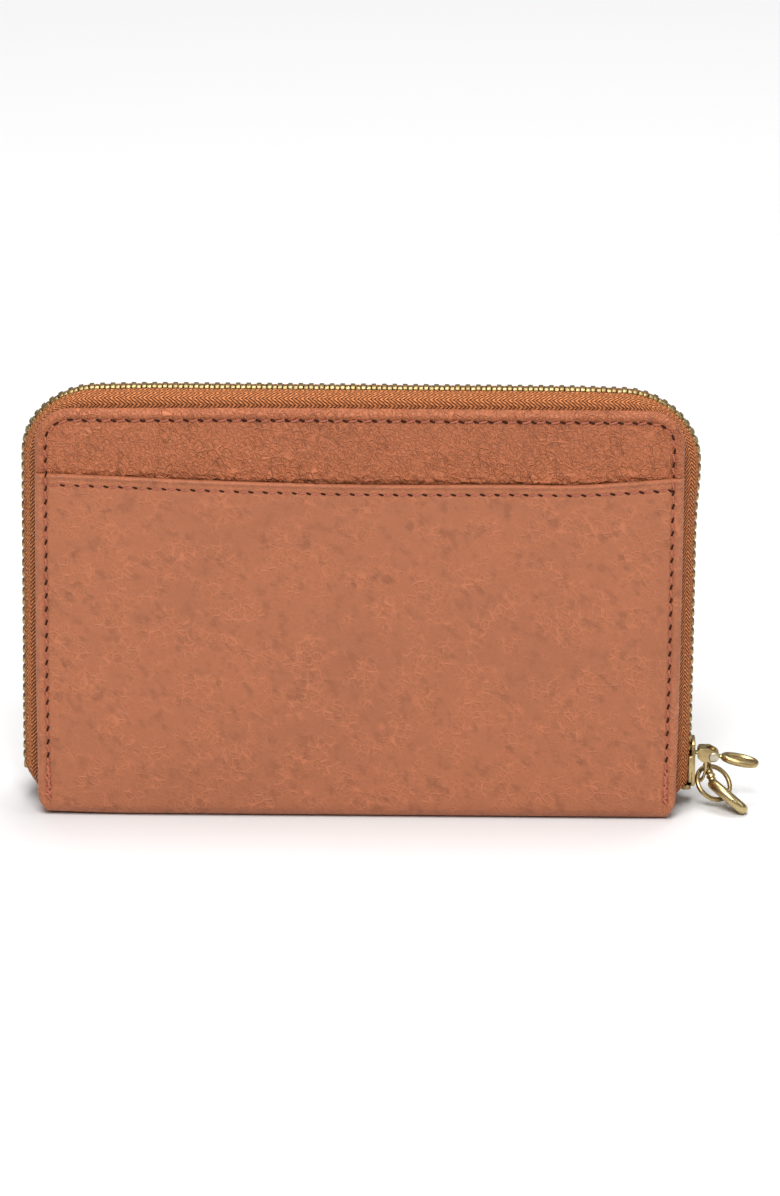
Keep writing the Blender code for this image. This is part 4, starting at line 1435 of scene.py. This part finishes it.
def coin_tape(node):
    """The coin zip's tape, a thin woven strip with a soft upper edge."""
    low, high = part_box(node)
    outline = arc((high.y - 0.2 * MM, high.z - 0.2 * MM), 0.2 * MM, 0, 90, 4)
    outline += arc((low.y + 0.2 * MM, high.z - 0.2 * MM), 0.2 * MM, 90, 180, 4)
    outline += [(low.y, low.z), (high.y, low.z)]
    steps = 60
    rings, uvs = [], []
    for i in range(steps + 1):
        x = low.x + (high.x - low.x) * i / steps
        rings.append([Vector((x, y, z)) for y, z in outline])
        uvs += [(x, z) for _, z in outline]
    points, faces = loft(rings)
    piece = mesh_object(node + "_weave", points, faces, "tape", uvs=uvs)
    place(piece, "spine", "zip_tape", node)


def coin_teeth(node, phase):
    """Small teeth of the coin zip, each a bevelled block."""
    low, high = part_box(node)
    pitch = 2.0 * MM
    tooth = bmesh_object("tooth", block((-0.42 * MM, low.y, low.z), (0.42 * MM, high.y, high.z)), "teeth")
    soften(tooth, 0.15 * MM, 2)
    points, faces = [], []
    base = [v.co.copy() for v in tooth.data.vertices]
    base_faces = [tuple(p.vertices) for p in tooth.data.polygons]
    bpy.data.objects.remove(tooth)
    count = int((high.x - low.x) / pitch) - 1
    for i in range(count):
        offset = len(points)
        shift = Vector((low.x + (i + 0.75 + phase) * pitch, 0, 0))
        points += [co + shift for co in base]
        faces += [tuple(offset + k for k in face) for face in base_faces]
    place(mesh_object(node + "_row", points, faces, "teeth"), "spine", "zip_metal", node)


def coin_pull():
    """Slider and tab of the coin zip."""
    pivot = Vector(JOINTS["coin_puller_swing"]["pos_m"])
    low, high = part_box("coin_slider")
    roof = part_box("coin_zip_back_teeth")[1].z + 0.3 * MM
    outline = plate_outline(0, 3.3 * MM, 2.5 * MM)
    outline = [(low.x + (high.x - low.x) / 2 + a, b) for a, b in outline]
    plate = bmesh_object("coin_slide", prism(outline, 2, roof, roof + 0.7 * MM), "brass")
    pieces = [soften(plate, 0.2 * MM, 3)]
    keel_low, keel_high = (low.x + MM, -0.45 * MM, low.z), (high.x - MM, 0.45 * MM, low.z + 0.8 * MM)
    pieces.append(rounded_block("keel", keel_low, keel_high, 0.15 * MM, 2))
    post = bmesh_object(
        "post",
        block((low.x + 1.2 * MM, -0.2 * MM, low.z + 0.5 * MM), (low.x + 3.2 * MM, 0.2 * MM, roof + 0.3 * MM)),
        "brass"
    )
    pieces.append(post)
    lug = wire_oval(
        "lug", pivot - Vector((0, 0, 0.35 * MM)), Vector((0, 0, 1)), Vector((1, 0, 0)), 1.1 * MM, 0.85 * MM,
        0.28 * MM, 0.5 * MM, "brass", 28, 10
    )
    pieces.append(lug)
    place(join("coin_slide", pieces), "coin_slider", "pull_brass", "coin_slider")
    tab_low, tab_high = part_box("coin_puller")
    half = tab_high.y
    near, far = pivot.x - 2.6 * MM, tab_low.x
    outline = [
        (far + half, -half), (near, -0.8 * half), (near, 0.8 * half)
    ] + arc((far + half, 0), half, 90, 270, 12)
    tab = bmesh_object("coin_tab", prism(outline, 2, tab_low.z, tab_high.z), "brass")
    soften(tab, 0.2 * MM, 3)
    loop = wire_oval(
        "loop", Vector((pivot.x - 1.3 * MM, 0, pivot.z)), Vector((1, 0, 0)), Vector((0, 1, 0)), 1.5 * MM,
        1.2 * MM, 0.26 * MM, 0.26 * MM, "brass", 32, 10
    )
    place(join("coin_tab", [tab, loop]), "coin_puller", "pull_brass", "coin_puller")


# ---------------------------------------------------------------- stage


def studio():
    """Plain white floor, soft light from above and in front, and a bright surround."""
    scene = bpy.context.scene
    size = 3.0
    floor = bpy.data.meshes.new("floor")
    floor.from_pydata(
        [(-size, -size, 0), (size, -size, 0), (size, size, 0), (-size, size, 0)], [], [(0, 1, 2, 3)]
    )
    paint = Shader("floor")
    paint.set(Base_Color=(0.80, 0.80, 0.80, 1), Roughness=0.7, Specular_IOR_Level=0.15)
    floor.materials.append(paint.mat)
    ground = bpy.data.objects.new("floor", floor)
    ground.location.z = -0.02 * MM
    scene.collection.objects.link(ground)

    world = bpy.data.worlds.new("surround")
    scene.world = world
    world.use_nodes = True
    tree = world.node_tree
    back = tree.nodes["Background"]
    coordinate = tree.nodes.new("ShaderNodeTexCoord")
    split = tree.nodes.new("ShaderNodeSeparateXYZ")
    ramp = tree.nodes.new("ShaderNodeValToRGB")
    tree.links.new(coordinate.outputs["Generated"], split.inputs[0])
    tree.links.new(split.outputs[2], ramp.inputs[0])
    tree.links.new(ramp.outputs[0], back.inputs[0])
    ramp.color_ramp.elements[0].position = 0.0
    ramp.color_ramp.elements[0].color = (0.30, 0.30, 0.31, 1)
    ramp.color_ramp.elements[1].position = 0.75
    ramp.color_ramp.elements[1].color = (1.0, 1.0, 1.0, 1)
    back.inputs[1].default_value = 0.42
    add_light("key", (-0.1, -1.0, 1.5), 1.0, 27.0)
    add_light("fill", (1.2, -0.5, 0.9), 0.6, 2.5)
    add_light("top", (0.1, 0.30, 1.6), 0.7, 13.0)
    scene.view_settings.view_transform = "Standard"


def add_light(name, location, size, power):
    light = bpy.data.lights.new(name, "AREA")
    light.shape = "DISK"
    light.size = size
    light.energy = power
    lamp = bpy.data.objects.new(name, light)
    lamp.location = location
    aim = Vector((0, 0, 0.05)) - Vector(location)
    lamp.rotation_euler = aim.to_track_quat("-Z", "Y").to_euler()
    bpy.context.scene.collection.objects.link(lamp)


def camera():
    """Camera a little above the wallet, square to the pocket side."""
    target = Vector((7.5, 0, 52.1)) * MM
    azimuth, elevation, roll = math.radians(0.26), math.radians(21.8), math.radians(0.55)
    distance = 2.1
    data = bpy.data.cameras.new("camera")
    data.sensor_fit = "HORIZONTAL"
    data.sensor_width = 36
    data.lens = 406.0
    data.clip_start = 0.1
    data.clip_end = 20
    turn = Matrix.Rotation(-azimuth, 4, "Z") @ Matrix.Rotation(
        math.pi / 2 - elevation, 4, "X"
    ) @ Matrix.Rotation(roll, 4, "Z")
    eye = bpy.data.objects.new("camera", data)
    eye.matrix_world = Matrix.Translation(target) @ turn @ Matrix.Translation((0, 0, distance))
    bpy.context.scene.collection.objects.link(eye)
    bpy.context.scene.camera = eye


def main():
    band_skin()
    pocket_skin()
    front_skin()
    stitch_line(
        "back_seam", "back_cover", perimeter_spots(back_seam_y, -1, BACK_SEAM_LOW_Z, COVER_TOP, CORNER_RADIUS)
    )
    stitch_line("pocket_seam", "back_cover", pocket_edge_spots())
    stitch_line(
        "front_seam", "front_cover", perimeter_spots(front_seam_y, 1, FRONT_SEAM_LOW_Z, FRONT_TOP, FRONT_CORNER)
    )
    back_tacks()
    template = tooth_template()
    for side, label, phase in ((-1, "back", 0.0), (1, "front", 0.5)):
        tape_piece(side, label + "_cover", label + "_tape")
        tooth_row(side, label + "_cover", label + "_tooth_row", phase, template)
    stops()
    slider()
    link()
    puller()
    jump_ring()
    swivel()
    interior()
    studio()
    camera()


main()
